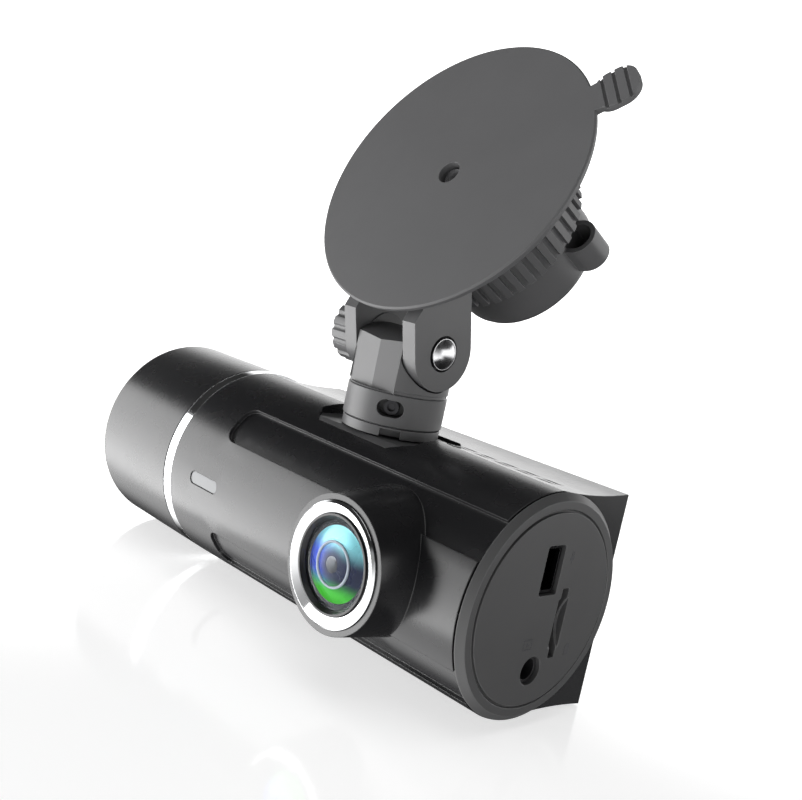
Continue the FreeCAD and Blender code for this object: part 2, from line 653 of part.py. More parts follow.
# --------------------------------------------------------------- case fasteners
def make_case_screws():
    """Screws that pull the rear shell onto the front shell's bosses."""
    screws = []
    for x in BOSS_X:
        for side in (-1, 1):
            z = side * BOSS_Z
            head = rod_y(1.95, BACK_WALL - 1.2, BACK_WALL, x, z)
            shank = rod_y(0.9, -8.0, BACK_WALL - 1.1, x, z)
            drive = rod_y(0.6, BACK_WALL - 0.6, BACK_WALL + 0.1, x, z)
            screws.append(head.fuse(shank).cut(drive))
    keep_barrel("case_screws", Part.makeCompound(screws))


# ------------------------------------------------------------------ cabin barrel
def hub_screw_places():
    """Centres (y, z) of the screws that hold the hub in the cabin barrel."""
    places = []
    for step in range(HUB_SCREW_COUNT):
        angle = math.radians(60 + step * 360 / HUB_SCREW_COUNT)
        places.append((HUB_SCREW_CIRCLE * math.cos(angle), HUB_SCREW_CIRCLE * math.sin(angle)))
    return places


def make_cabin_shell(middle, window_y):
    """Hollow turning barrel with a rounded end, window recess and hub bosses."""
    outer = rod_x(BARREL_RADIUS, CABIN_LEFT, CABIN_RIGHT)
    end_edges = [edge for edge in outer.Edges if edge.BoundBox.XMax - CABIN_LEFT < 1e-3]
    outer = outer.makeFillet(0.9, end_edges)
    hollow = rod_x(INNER_RADIUS, CABIN_LEFT + 2, CABIN_RIGHT + 1)
    recess = box(middle - 9.6, middle + 9.6, window_y - 0.4, BARREL_RADIUS + 1, -7.2, 7.2)
    opening = slot_prism(18 + 2 * FIT, 13 + 2 * FIT, 3, facing_y(middle, BARREL_RADIUS + 1, 0), 6)
    shell = cut_all(outer, [hollow, recess, opening])
    bosses = [rod_x(3.0, CABIN_RIGHT - 6.8, CABIN_RIGHT - 2.3, y, z) for y, z in hub_screw_places()]
    shell = fused([shell] + [boss.common(rod_x(INNER_RADIUS + 0.5, CABIN_LEFT, CABIN_RIGHT)) for boss in bosses])
    pilots = [rod_x(1.0, CABIN_RIGHT - 6.4, CABIN_RIGHT, y, z) for y, z in hub_screw_places()]
    keep_barrel("cabin_shell", cut_all(shell, pilots))


def make_cabin_hub():
    """Hub disc with the hollow pivot, and its screws."""
    carrier = rod_x(INNER_RADIUS - FIT, CABIN_RIGHT - 2.2, CABIN_RIGHT - 0.05)
    pivot = rod_x(PIVOT_RADIUS, CABIN_RIGHT - 1, RING_X + 6.0)
    hub = fused([carrier, pivot]).cut(rod_x(4.2, CABIN_RIGHT - 3, RING_X + 7))
    groove = tube(rod_x, PIVOT_RADIUS - 0.8, PIVOT_RADIUS + 1, RING_X + 4.1, RING_X + 5.1)
    holes = [groove]
    screws = []
    for y, z in hub_screw_places():
        holes.append(rod_x(1.1, CABIN_RIGHT - 3, CABIN_RIGHT + 1, y, z))
        holes.append(rod_x(1.95, CABIN_RIGHT - 1.1, CABIN_RIGHT + 1, y, z))
        screws.append(rod_x(0.95, CABIN_RIGHT - 6.2, CABIN_RIGHT - 0.3, y, z).fuse(
            rod_x(1.85, CABIN_RIGHT - 1.1, CABIN_RIGHT - 0.2, y, z)))
    keep_barrel("cabin_hub", cut_all(hub, holes))
    keep_barrel("hub_screws", Part.makeCompound(screws))


def make_cabin_camera(middle, window_y):
    """Window, lens, infrared lamps and board behind them."""
    plate = slot_prism(18, 13, 2.9, facing_y(middle, window_y + 0.3, 0), 1.5)
    keep_barrel("cabin_window", plate.cut(rod_y(4.3, window_y - 3, window_y + 2, middle, 0)))
    board_y = window_y - 6.4
    lens = turned_y([(board_y - 5.5, 0), (board_y - 5.5, 5.4), (board_y - 1.3, 5.4), (board_y - 1.3, 4.2),
                     (window_y + 0.9, 4.2), (window_y + 1.1, 3.0), (window_y + 0.5, 2.4), (window_y + 0.5, 0)], middle, 0)
    keep_barrel("cabin_lens", lens)
    lamps = [rod_y(1.3, board_y, board_y + 4.2, middle + dx, dz) for dx in (-6.6, 6.6) for dz in (-3.4, 3.4)]
    keep_barrel("infrared_lamps", Part.makeCompound(lamps))
    board = slot_prism(19, 15, 1.0, facing_y(middle, board_y, 0), 1.2)
    keep_barrel("cabin_board", board.cut(rod_y(4.3, 0, BARREL_RADIUS, middle, 0)))


def make_cabin_barrel():
    """Turning barrel with the cabin camera, its hub and pivot."""
    middle = (CABIN_LEFT + CABIN_RIGHT) / 2
    window_y = BARREL_RADIUS - WINDOW_DROP
    make_cabin_shell(middle, window_y)
    make_cabin_hub()
    make_cabin_camera(middle, window_y)


def make_pivot_bush():
    """Bush in the left bulkhead, the clip that holds the pivot in it, and the cable through it."""
    keep_barrel("pivot_bush", tube(rod_x, PIVOT_RADIUS + RUNNING, BUSH_RADIUS, RING_X - RING_WIDTH + 0.2, RING_X + 3.8))
    clip = tube(rod_x, PIVOT_RADIUS - 0.75, PIVOT_RADIUS + 1.3, RING_X + 4.2, RING_X + 5.0)
    gap = box(RING_X + 4, RING_X + 5.2, 0, 12, -2.4, 2.4)
    keep_barrel("pivot_clip", clip.cut(gap))
    end = RING_X + 9.0
    ribbon = box(CABIN_RIGHT - 5, end, -0.15, 0.15, -3.0, 3.0)
    plug = box(end - 0.5, end + 1.4, -0.3, BOARD_Y, -3.2, -0.0)
    keep_barrel("link_cable", fused([ribbon, plug]))


# ------------------------------------------------------------ seat, foot and stem
def mark_skin():
    """Thin layer on the top of the rear housing."""
    lower = block_solid(0, RING_X, HOUSING_END)
    upper = lower.copy()
    upper.translate(Vector(0, 0, 0.12))
    return upper.cut(lower)


def make_seat():
    """Seat plate that takes the foot's bayonet lugs."""
    plate = seat_prism(0, SEAT_FLOOR - SEAT_THICKNESS, SEAT_FLOOR)
    plate = plate.common(barrel_cone(RUNNING, -SEAT_LENGTH, SEAT_LENGTH))
    opening = rod_z(NECK_RADIUS + MOVE, SEAT_FLOOR - 3, SEAT_FLOOR + 1)
    reach = LUG_RADIUS + MOVE
    half = LUG_HALF_WIDTH + MOVE
    keyway = box(-reach, reach, -half, half, SEAT_FLOOR - 3, SEAT_FLOOR + 1)
    keep_barrel("seat_plate", cut_all(plate, [opening, keyway]))
    tip = SEAT_LENGTH / 2 + 0.6
    mark = prism([Vector(tip, 1.4, SEAT_FLOOR), Vector(tip + 2.6, 0.4, SEAT_FLOOR), Vector(tip + 2.6, 2.4, SEAT_FLOOR)],
                 Vector(0, 0, BARREL_RADIUS - SEAT_FLOOR))
    keep_barrel("lock_mark", mark.common(mark_skin()))


def make_foot():
    """Foot ring with its notch, neck and two bayonet lugs under the seat plate."""
    low = SEAT_FLOOR + MOVE
    under = SEAT_FLOOR - SEAT_THICKNESS - MOVE
    ring = rod_z(FOOT_RADIUS, low, SEAT_FLOOR + FOOT_HEIGHT)
    neck = rod_z(NECK_RADIUS, under - LUG_THICKNESS, low + 0.5)
    lugs = box(-LUG_RADIUS, LUG_RADIUS, -LUG_HALF_WIDTH, LUG_HALF_WIDTH, under - LUG_THICKNESS, under)
    lugs = lugs.common(rod_z(LUG_RADIUS, under - 2, under + 1))
    lugs.rotate(Vector(0, 0, 0), Vector(0, 0, 1), TWIST_RANGE)
    foot = fused([ring, neck, lugs])
    half = FOOT_NOTCH_WIDTH / 2
    notch = box(-half, half, -FOOT_RADIUS - 1, -FOOT_RADIUS + 2.0, low - 1, SEAT_FLOOR + FOOT_HEIGHT - 0.3)
    notch.rotate(Vector(0, 0, 0), Vector(0, 0, 1), FOOT_NOTCH_TURN)
    bore = rod_z(1.3, under - 2, low + FOOT_HEIGHT)
    sink = rod_z(2.7, under - 2, under + 0.6)
    keep_barrel("foot", cut_all(foot, [notch, bore, sink]))
    screw = fused([rod_z(1.15, under - 0.2, COLLAR_BOTTOM + 4.0), rod_z(2.5, under - 1.2, under + 0.5)])
    keep_barrel("foot_screw", screw)


def tongue_section(height):
    """Outline of the tongue seen from above: two shallow facets in front, flat behind."""
    half = TONGUE_WIDTH / 2
    front = -TONGUE_DEPTH / 2
    return [Vector(-half, front, height), Vector(TONGUE_CREASE, front - TONGUE_FACET_RISE, height),
            Vector(half, front, height), Vector(half, -front, height), Vector(-half, -front, height)]


def make_stem():
    """Stem: collar with a side hole, grooved shoulder and the tongue of the tilt hinge."""
    half = TONGUE_WIDTH / 2
    top = HINGE_HEIGHT + TONGUE_CREST
    rim = COLLAR_RADIUS - 0.3
    body = turned_z([(0, COLLAR_BOTTOM), (rim, COLLAR_BOTTOM), (COLLAR_RADIUS, COLLAR_BOTTOM + 0.3),
                     (COLLAR_RADIUS, COLLAR_TOP - 0.2), (COLLAR_RADIUS - 0.4, COLLAR_TOP),
                     (COLLAR_RADIUS - 0.4, COLLAR_TOP + COLLAR_GROOVE), (COLLAR_RADIUS, COLLAR_TOP + COLLAR_GROOVE + 0.1),
                     (COLLAR_RADIUS - 0.1, HINGE_HEIGHT - 1.5), (0, HINGE_HEIGHT - 1.5)])
    window = box(-half, half, -20, 20, COLLAR_TOP + 0.1, HINGE_HEIGHT)
    body = body.cut(window)
    for side in (-1, 1):
        start = half if side > 0 else -half - 12
        body = body.cut(rod_x(EAR_HALF_WIDTH + MOVE, start, start + 12, 0, HINGE_HEIGHT))
    tongue = prism(tongue_section(COLLAR_TOP - 1), Vector(0, 0, top - COLLAR_TOP + 1))
    tongue = tongue.common(rod_x(TONGUE_CROWN, -half - 1, half + 1, 0, top - TONGUE_CROWN))
    stem = fused([body, tongue])
    middle = COLLAR_BOTTOM + COLLAR_HEIGHT * 0.55
    tools = [collar_hole(middle), rod_x(BOLT_RADIUS + MOVE, -20, 20, 0, HINGE_HEIGHT),
             rod_z(1.25, COLLAR_BOTTOM - 1, COLLAR_BOTTOM + 4.4)]
    keep_barrel("stem", cut_all(stem, tools))
    turn = Rotation(Vector(0, 0, 1), COLLAR_HOLE_TURN)
    grub = rod_x(1.35, COLLAR_RADIUS - 3.9, COLLAR_RADIUS - 2.0, 0, 0)
    grub = grub.cut(rod_x(0.7, COLLAR_RADIUS - 3.0, COLLAR_RADIUS, 0, 0))
    grub.Placement = Placement(Vector(0, 0, middle), turn)
    keep_barrel("set_screw", grub)


def collar_hole(middle):
    """Oval side hole of the collar, cut in from outside."""
    place = facing_x(COLLAR_RADIUS - 3.9, 0, 0)
    hole = slot_prism(COLLAR_HOLE_WIDTH, COLLAR_HOLE_HEIGHT, COLLAR_HOLE_HEIGHT / 2 - 0.01, place, 6)
    hole.Placement = Placement(Vector(0, 0, middle), Rotation(Vector(0, 0, 1), COLLAR_HOLE_TURN)).multiply(hole.Placement)
    return hole


def make_hinge():
    """Hinge screw, washers, knurled nut and its brass insert."""
    z = HINGE_HEIGHT
    outer_face = -EAR_OUTER - MOVE
    end = outer_face - NUT_THICKNESS
    shank = rod_x(BOLT_RADIUS, end + 1.3, EAR_OUTER - 1.4, 0, z)
    head = rod_x(HEAD_RADIUS, EAR_OUTER - 1.5, EAR_OUTER + 0.2, 0, z)
    dome = Part.makeSphere(3.6, Vector(EAR_OUTER - 2.2, 0, z)).common(rod_x(HEAD_RADIUS, EAR_OUTER, EAR_OUTER + 2, 0, z))
    keep_barrel("hinge_screw", fused([shank, head, dome]))
    washers = []
    inner = TONGUE_WIDTH / 2 + RUNNING
    outer = EAR_INNER - RUNNING
    for low in (inner, -outer):
        washers.append(tube(rod_x, BOLT_RADIUS + FIT, 4.6, low, low + outer - inner, 0, z))
    keep_barrel("hinge_washers", Part.makeCompound(washers))
    body = rod_x(NUT_RADIUS, end, outer_face, 0, z)
    outer_edge = [edge for edge in body.Edges if edge.BoundBox.XMax - end < 1e-3]
    body = body.makeFillet(0.7, outer_edge)
    flutes = []
    for step in range(NUT_FLUTES):
        angle = 2 * math.pi * step / NUT_FLUTES
        reach = NUT_RADIUS + NUT_FLUTE_RADIUS * 0.45
        flutes.append(rod_x(NUT_FLUTE_RADIUS, end - 1, outer_face - 0.8, reach * math.cos(angle),
                            z + reach * math.sin(angle)))
    keep_barrel("hinge_nut", cut_all(body, flutes + [rod_x(INSERT_RADIUS, end + 1, outer_face + 1, 0, z)]))
    keep_barrel("nut_insert", tube(rod_x, BOLT_RADIUS + RUNNING, INSERT_RADIUS, end + 1, outer_face, 0, z))


# --------------------------------------------------------- suction cup and lock
def polar(radius, degrees):
    """Point in the cup plane at an angle above +X, seen from the windscreen."""
    angle = math.radians(degrees)
    return radius * math.cos(angle), -radius * math.sin(angle)


def make_disc():
    """Soft suction disc with a hub, a bore for the post and a pull tab."""
    profile = [(POST_RADIUS + 0.5, 0), (DISC_RADIUS - 0.3, 0), (DISC_RADIUS, 0.3), (DISC_RADIUS - 0.2, DISC_EDGE),
               (12, 3.2), (7.5, 3.2), (7.5, 7.0), (3.2, 7.0), (3.2, 2.4), (POST_RADIUS + 0.5, 2.4)]
    disc = turned_z(profile)
    neck = slot_prism(TAB_REACH - DISC_RADIUS + 2, TAB_WIDTH - 1.8, 2.4, Placement(), DISC_EDGE)
    neck.translate(Vector((DISC_RADIUS + TAB_REACH) / 2 - 2.5, 0, 0))
    pad = slot_prism(8.0, TAB_WIDTH, 3.2, Placement(), TAB_THICKNESS)
    pad.translate(Vector(TAB_REACH - 4.0, 0, 0))
    grooves = [box(TAB_REACH - 6.4 + 2.1 * step, TAB_REACH - 5.8 + 2.1 * step, -6, 6, -0.4, 0.4) for step in range(3)]
    tab = fused([neck, pad]).cut(Part.makeCompound(grooves))
    tab.rotate(Vector(0, 0, 0), Vector(0, 0, 1), -TAB_ANGLE)
    keep_cup("suction_disc", fused([disc, tab]))


def cup_hinge():
    """Tilt axis in cup coordinates: down the face, and behind it."""
    return HINGE_DROP, HINGE_DEPTH


def ear(side):
    """One fork ear: round end on the tilt axis, straight cheek running up to the cup."""
    v, w = cup_hinge()
    lean = math.radians(FACE_TILT + EAR_LEAN)
    up = Vector(0, -math.cos(lean), -math.sin(lean))
    across = Vector(0, -up.z, up.y)
    x0 = side * EAR_INNER if side > 0 else -EAR_OUTER
    centre = Vector(x0, v, w)
    round_end = Part.makeCylinder(EAR_HALF_WIDTH, EAR_THICKNESS, centre, Vector(1, 0, 0))
    reach = 26.0
    corners = [centre + across * EAR_HALF_WIDTH, centre - across * EAR_HALF_WIDTH,
               centre - across * EAR_HALF_WIDTH + up * reach, centre + across * EAR_HALF_WIDTH + up * reach]
    cheek = prism(corners, Vector(EAR_THICKNESS, 0, 0))
    return round_end.fuse(cheek)


def make_cup_base():
    """Base moulding: shallow flange, ribbed skirt and the two fork ears."""
    flange_low = 3.6
    body = turned_z([(4.0, 8.0), (4.0, 7.4), (10.0, 7.4), (10.0, 4.6), (14.0, flange_low), (FLANGE_RADIUS - 0.6, flange_low - 0.9),
                     (FLANGE_RADIUS, flange_low - 0.4), (FLANGE_RADIUS - 0.4, flange_low + 0.9), (SKIRT_RADIUS, 7.2),
                     (SKIRT_RADIUS, SKIRT_END), (KNOB_RADIUS + MOVE, SKIRT_END), (KNOB_RADIUS + MOVE, 9.8),
                     (POST_RADIUS + MOVE, 9.8), (POST_RADIUS + MOVE, 8.0)])
    ribs = []
    for step in range(RIB_COUNT):
        rib = box(SKIRT_RADIUS - 0.3, SKIRT_RADIUS + RIB_HEIGHT, -0.65, 0.65, 6.0, SKIRT_END - 0.4)
        rib.rotate(Vector(0, 0, 0), Vector(0, 0, 1), 360.0 * step / RIB_COUNT)
        ribs.append(rib)
    v, w = cup_hinge()
    room = turned_z([(0, -30), (60, -30), (60, 2.0), (FLANGE_RADIUS - 1, 2.4), (SKIRT_RADIUS, 6.0), (SKIRT_RADIUS - 0.2, 40),
                     (0, 40)])
    below = box(-40, 40, 0, 60, -5, 40)
    cheeks = [ear(side).common(below).cut(room) for side in (-1, 1)]
    base = fused([body] + ribs + cheeks)
    base = base.cut(Part.makeCylinder(BOLT_RADIUS + FIT, 40, Vector(-20, v, w), Vector(1, 0, 0)))
    base = base.cut(Part.makeCylinder(HEAD_BORE, 4, Vector(EAR_OUTER - 1.6, v, w), Vector(1, 0, 0)))
    keep_cup("cup_base", base)


def lug_prism(start, reach, width, low, high):
    """Radial finger on the knob with a rounded outer end, between two depths."""
    finger = slot_prism(reach - start + 4, width, width / 2 - 0.01, Placement(Vector(0, 0, low), Rotation()), high - low)
    finger.translate(Vector((start + reach) / 2 - 2, 0, 0))
    finger = finger.common(box(start, reach + 1, -width, width, low - 1, high + 1))
    finger.rotate(Vector(0, 0, 0), Vector(0, 0, 1), -LUG_ANGLE)
    return finger


def make_lock():
    """Twist-lock knob, pull post, cross pin and return spring."""
    inner = KNOB_RADIUS - 2.0
    front = 10.2
    shell = turned_z([(POST_RADIUS + MOVE, PIN_FLOOR - 2.6), (6.0, PIN_FLOOR - 2.6), (6.0, 20.0), (inner, 20.0),
                      (inner, front), (KNOB_RADIUS, front), (KNOB_RADIUS, KNOB_END - 1.4), (KNOB_RADIUS - 0.4, KNOB_END - 0.4),
                      (KNOB_RADIUS - 1.4, KNOB_END), (9.0, KNOB_END), (9.0, PIN_FLOOR), (POST_RADIUS + MOVE, PIN_FLOOR)])
    lug = lug_prism(KNOB_RADIUS - 2.0, LUG_REACH, LUG_WIDTH, LUG_START, LUG_END)
    pocket = lug_prism(KNOB_RADIUS - LUG_WALL, LUG_REACH - LUG_WALL, LUG_WIDTH - 2 * LUG_WALL, LUG_START - 1,
                       LUG_END - LUG_WALL)
    room = rod_z(KNOB_RADIUS - 1.0, LUG_START - 1, KNOB_END + 1)
    knob = fused([shell, lug.cut(room)]).cut(pocket)
    keep_cup("lock_knob", knob)
    pin_z = PIN_FLOOR + PIN_RADIUS + MOVE
    post = fused([rod_z(POST_RADIUS, 1.3, pin_z + 1.2), rod_z(2.9, 3.4, 4.8)])
    keep_cup("pull_post", post.cut(rod_x(PIN_RADIUS + RUNNING, -6, 6, 0, pin_z)))
    keep_cup("cross_pin", rod_x(PIN_RADIUS, -PIN_REACH, PIN_REACH, 0, pin_z))


# ------------------------------------------------------------------------ build
make_front_shell()
make_rear_shell()
make_port_cap()
make_ring_trim()
make_front_lens()
make_indicator()
make_boards()
make_sockets()
make_small_electronics()
make_screen()
make_keys()
make_case_screws()
make_cabin_barrel()
make_pivot_bush()
make_seat()
make_foot()
make_stem()
make_hinge()
make_disc()
make_cup_base()
make_lock()

os.makedirs("parts", exist_ok=True)
for node_name, node_shape in NODES.items():
    node_shape.exportStep("parts/" + node_name + ".step")
    print(node_name, len(node_shape.Solids), "valid" if node_shape.isValid() else "INVALID",
          round(node_shape.Volume, 1))
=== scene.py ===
"""Looks of a dash camera with a turning cabin barrel, hung from a twist-lock suction mount.

Sizes are metres in the part's own frame: +Z up, -Y towards the windscreen and +X along
the barrel towards the port face. Most pieces keep their CAD shape and get a finish here.
Repeated and rule-driven pieces are grown by Geometry Nodes and kept as plain meshes.
"""
import logging
import math
from dataclasses import dataclass
from enum import Enum
from typing import Callable, Iterable, Optional, Sequence

import bmesh
import bpy
from mathutils import Euler, Matrix, Vector


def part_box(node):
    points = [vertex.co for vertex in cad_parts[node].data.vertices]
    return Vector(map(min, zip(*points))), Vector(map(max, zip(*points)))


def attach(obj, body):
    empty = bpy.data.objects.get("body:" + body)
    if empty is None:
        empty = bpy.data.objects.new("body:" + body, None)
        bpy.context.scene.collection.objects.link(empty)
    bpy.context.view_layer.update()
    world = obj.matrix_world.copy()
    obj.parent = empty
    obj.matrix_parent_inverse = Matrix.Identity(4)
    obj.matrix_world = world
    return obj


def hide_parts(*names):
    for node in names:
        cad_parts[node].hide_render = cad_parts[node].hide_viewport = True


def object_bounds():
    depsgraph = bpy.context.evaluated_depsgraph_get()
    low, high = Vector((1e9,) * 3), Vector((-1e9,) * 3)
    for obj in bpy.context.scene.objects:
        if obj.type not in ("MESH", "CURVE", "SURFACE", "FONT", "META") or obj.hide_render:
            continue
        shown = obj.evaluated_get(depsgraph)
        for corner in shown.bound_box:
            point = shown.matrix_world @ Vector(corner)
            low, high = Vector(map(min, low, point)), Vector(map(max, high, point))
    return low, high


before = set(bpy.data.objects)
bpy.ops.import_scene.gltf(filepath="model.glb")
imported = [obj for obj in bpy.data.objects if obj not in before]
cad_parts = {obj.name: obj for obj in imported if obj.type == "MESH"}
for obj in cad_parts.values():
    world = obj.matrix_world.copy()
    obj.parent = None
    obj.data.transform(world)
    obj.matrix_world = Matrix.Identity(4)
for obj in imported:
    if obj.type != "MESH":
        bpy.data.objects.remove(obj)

CAD_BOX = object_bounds()
MM = 0.001
LOG = logging.getLogger("dash_camera")
Socket = bpy.types.NodeSocket
Material = bpy.types.Material
Piece = bpy.types.Object


# --------------------------------------------------------------------- graph helpers
class Graph:
    """Small builder over a shader or geometry node tree."""

    def __init__(self, tree: bpy.types.NodeTree) -> None:
        """Wrap a node tree.

        Args:
            tree: The tree that nodes are added to.
        """
        self.tree = tree

    def add(self, kind: str, settings: Optional[dict] = None, **inputs: object) -> bpy.types.Node:
        """Add a node and fill its inputs.

        Args:
            kind: Blender's node type name.
            settings: Properties set on the node before its inputs.
            inputs: Socket names, spaces written as underscores, to a value or a socket.

        Returns:
            The new node.
        """
        node = self.tree.nodes.new(kind)
        for key, value in (settings or {}).items():
            setattr(node, key, value)
        for name, value in inputs.items():
            self.put(node, name.replace("_", " "), value)
        return node

    def put(self, node: bpy.types.Node, name: str, value: object) -> None:
        """Give one input of a node a value or a link.

        Args:
            node: The node.
            name: The socket's name, or its number after a leading 'i'.
            value: A plain value, or an output socket to link from.
        """
        socket = node.inputs[int(name[1:])] if name[:1] == "i" and name[1:].isdigit() else node.inputs[name]
        if isinstance(value, Socket):
            self.tree.links.new(value, socket)
        else:
            socket.default_value = value

    def math(self, operation: str, a: object, b: object = 0.0) -> Socket:
        """Add a Math node.

        Args:
            operation: The Math node's operation.
            a: First value or socket.
            b: Second value or socket.

        Returns:
            The result socket.
        """
        return self.add("ShaderNodeMath", {"operation": operation}, i0=a, i1=b).outputs[0]

    def spread(self, value: object, low: float, high: float, to_low: float,
               to_high: float) -> Socket:
        """Map a value from one range onto another, smoothly and clamped.

        Args:
            value: Value or socket.
            low: Start of the first range.
            high: End of the first range.
            to_low: Start of the second range.
            to_high: End of the second range.

        Returns:
            The result socket.
        """
        node = self.add("ShaderNodeMapRange", {"interpolation_type": "SMOOTHSTEP"}, Value=value,
                        From_Min=low, From_Max=high, To_Min=to_low, To_Max=to_high)
        return node.outputs[0]

    def noise(self, place: object, scale: float, detail: float = 2.0,
              roughness: float = 0.5) -> Socket:
        """Add a noise texture.

        Args:
            place: Socket of the coordinates.
            scale: Noise cells per metre.
            detail: Number of finer layers.
            roughness: Strength of the finer layers.

        Returns:
            The noise value's socket.
        """
        return self.add("ShaderNodeTexNoise", Vector=place, Scale=scale, Detail=detail,
                        Roughness=roughness).outputs[0]

    def blend(self, share: object, first: object, second: object) -> Socket:
        """Mix two colours.

        Args:
            share: How much of the second, a value or socket.
            first: Colour or socket.
            second: Colour or socket.

        Returns:
            The mixed colour's socket.
        """
        node = self.add("ShaderNodeMix", {"data_type": "RGBA"})
        self.put(node, "i0", share)
        self.put(node, "i6", first)
        self.put(node, "i7", second)
        return node.outputs[2]


def new_material(name: str) -> tuple[Material, Graph, bpy.types.Node]:
    """Make an empty node material with a Principled shader on its output.

    Args:
        name: The material's name.

    Returns:
        The material, its graph, and the Principled node.
    """
    material = bpy.data.materials.new(name)
    material.use_nodes = True
    material.node_tree.nodes.clear()
    graph = Graph(material.node_tree)
    shader = graph.add("ShaderNodeBsdfPrincipled")
    output = graph.add("ShaderNodeOutputMaterial")
    material.node_tree.links.new(shader.outputs[0], output.inputs[0])
    return material, graph, shader


def rgba(colour: Sequence[float]) -> tuple[float, float, float, float]:
    """Add full opacity to a colour."""
    return (colour[0], colour[1], colour[2], 1.0)


# -------------------------------------------------------------------------- finishes
@dataclass(frozen=True)
class Moulding:
    """Moulded plastic or rubber with a fine grain, softened edges, and edges painted lighter: partly rubbed
    wear, partly a painted highlight.

    Attributes:
        colour: Base colour.
        roughness: Mean roughness.
        grain: Size of one grain in metres.
        depth: Height of the grain in metres.
        mottle: Share by which the colour drifts from place to place.
        edge: Radius of the softened edges in metres.
        wear_and_edge_highlight: How much lighter the edges are painted, partly as rubbed wear and partly as a
            painted highlight.
        coat: Weight of a clear polished coat.
    """

    colour: tuple[float, float, float]
    roughness: float = 0.4
    grain: float = 0.00035
    depth: float = 0.000006
    mottle: float = 0.10
    edge: float = 0.00012
    wear_and_edge_highlight: float = 0.08
    coat: float = 0.0

    def make(self, name: str) -> Material:
        """Build the material.

        Args:
            name: The material's name.

        Returns:
            The finished material.
        """
        material, graph, shader = new_material(name)
        place = graph.add("ShaderNodeTexCoord").outputs["Object"]
        drift = graph.noise(place, 55.0, 3.0, 0.6)
        grain = graph.noise(place, 1.0 / self.grain)
        soft = graph.add("ShaderNodeBevel", {"samples": 4}, Radius=self.edge).outputs[0]
        bump = graph.add("ShaderNodeBump", Height=grain, Strength=1.0, Distance=self.depth, Normal=soft)
        raw = graph.add("ShaderNodeNewGeometry").outputs["Normal"]
        bend = graph.add("ShaderNodeVectorMath", {"operation": "DOT_PRODUCT"}, i0=soft, i1=raw)
        # Edges are painted lighter here: partly rubbed wear, partly a painted highlight along the edges.
        edge_wear_and_highlight_mask = graph.spread(bend.outputs["Value"], 0.995, 0.93, 0.0, 1.0)
        darker = rgba([c * (1 - self.mottle) for c in self.colour])
        lighter = rgba([c * (1 + self.mottle) for c in self.colour])
        edge_wear_and_highlight_colour = rgba([min(1.0, c + self.wear_and_edge_highlight) for c in self.colour])
        body = graph.blend(graph.spread(drift, 0.3, 0.7, 0.0, 1.0), darker, lighter)
        colour = graph.blend(edge_wear_and_highlight_mask, body, edge_wear_and_highlight_colour)
        patch = graph.noise(place, 260.0)
        rough = graph.spread(patch, 0.25, 0.75, self.roughness * 0.97, self.roughness * 1.03)
        graph.put(shader, "Base Color", colour)
        graph.put(shader, "Roughness", rough)
        graph.put(shader, "Normal", bump.outputs[0])
        graph.put(shader, "Coat Weight", self.coat)
        graph.put(shader, "Coat Roughness", 0.06)
        return material


@dataclass(frozen=True)
class Metal:
    """Plated, turned or milled metal with fine tool marks and faint smudges.

    Attributes:
        colour: Base colour.
        roughness: Mean roughness.
        marks: Spacing of the tool marks in metres.
        depth: Height of the tool marks in metres.
        edge: Radius of the softened edges in metres.
        axis: Stretch of the marks along each axis; a large number gives fine lines across it.
    """

    colour: tuple[float, float, float]
    roughness: float = 0.15
    marks: float = 0.0004
    depth: float = 0.000002
    edge: float = 0.0001
    axis: tuple[float, float, float] = (1.0, 1.0, 1.0)

    def make(self, name: str) -> Material:
        """Build the material.

        Args:
            name: The material's name.

        Returns:
            The finished material.
        """
        material, graph, shader = new_material(name)
        place = graph.add("ShaderNodeTexCoord").outputs["Object"]
        stretched = graph.add("ShaderNodeMapping", Vector=place, Scale=self.axis).outputs[0]
        marks = graph.noise(stretched, 1.0 / self.marks)
        soft = graph.add("ShaderNodeBevel", {"samples": 4}, Radius=self.edge).outputs[0]
        bump = graph.add("ShaderNodeBump", Height=marks, Strength=1.0, Distance=self.depth, Normal=soft)
        smudge = graph.noise(place, 180.0, 4.0, 0.6)
        rough = graph.spread(smudge, 0.3, 0.8, self.roughness * 0.8, self.roughness * 1.35)
        dull = rgba([c * 0.93 for c in self.colour])
        share = graph.spread(smudge, 0.35, 0.75, 0.0, 1.0)
        graph.put(shader, "Base Color", graph.blend(share, rgba(self.colour), dull))
        graph.put(shader, "Metallic", 1.0)
        graph.put(shader, "Roughness", rough)
        graph.put(shader, "Normal", bump.outputs[0])
        return material


@dataclass(frozen=True)
class ClearGlass:
    """Coated glass that is seen through.

    Attributes:
        tint: Colour of the light that passes.
        roughness: Surface roughness.
        bending: Index of refraction, low so that the elements behind keep their places.
    """

    tint: tuple[float, float, float]
    roughness: float = 0.02
    bending: float = 1.08

    def make(self, name: str) -> Material:
        """Build the material.

        Args:
            name: The material's name.

        Returns:
            The finished material.
        """
        material, graph, shader = new_material(name)
        place = graph.add("ShaderNodeTexCoord").outputs["Object"]
        dust = graph.noise(place, 900.0, 5.0, 0.7)
        graph.put(shader, "Roughness", graph.spread(dust, 0.45, 0.85, self.roughness, self.roughness * 3))
        graph.put(shader, "Base Color", rgba(self.tint))
        graph.put(shader, "Transmission Weight", 1.0)
        graph.put(shader, "IOR", self.bending)
        return material


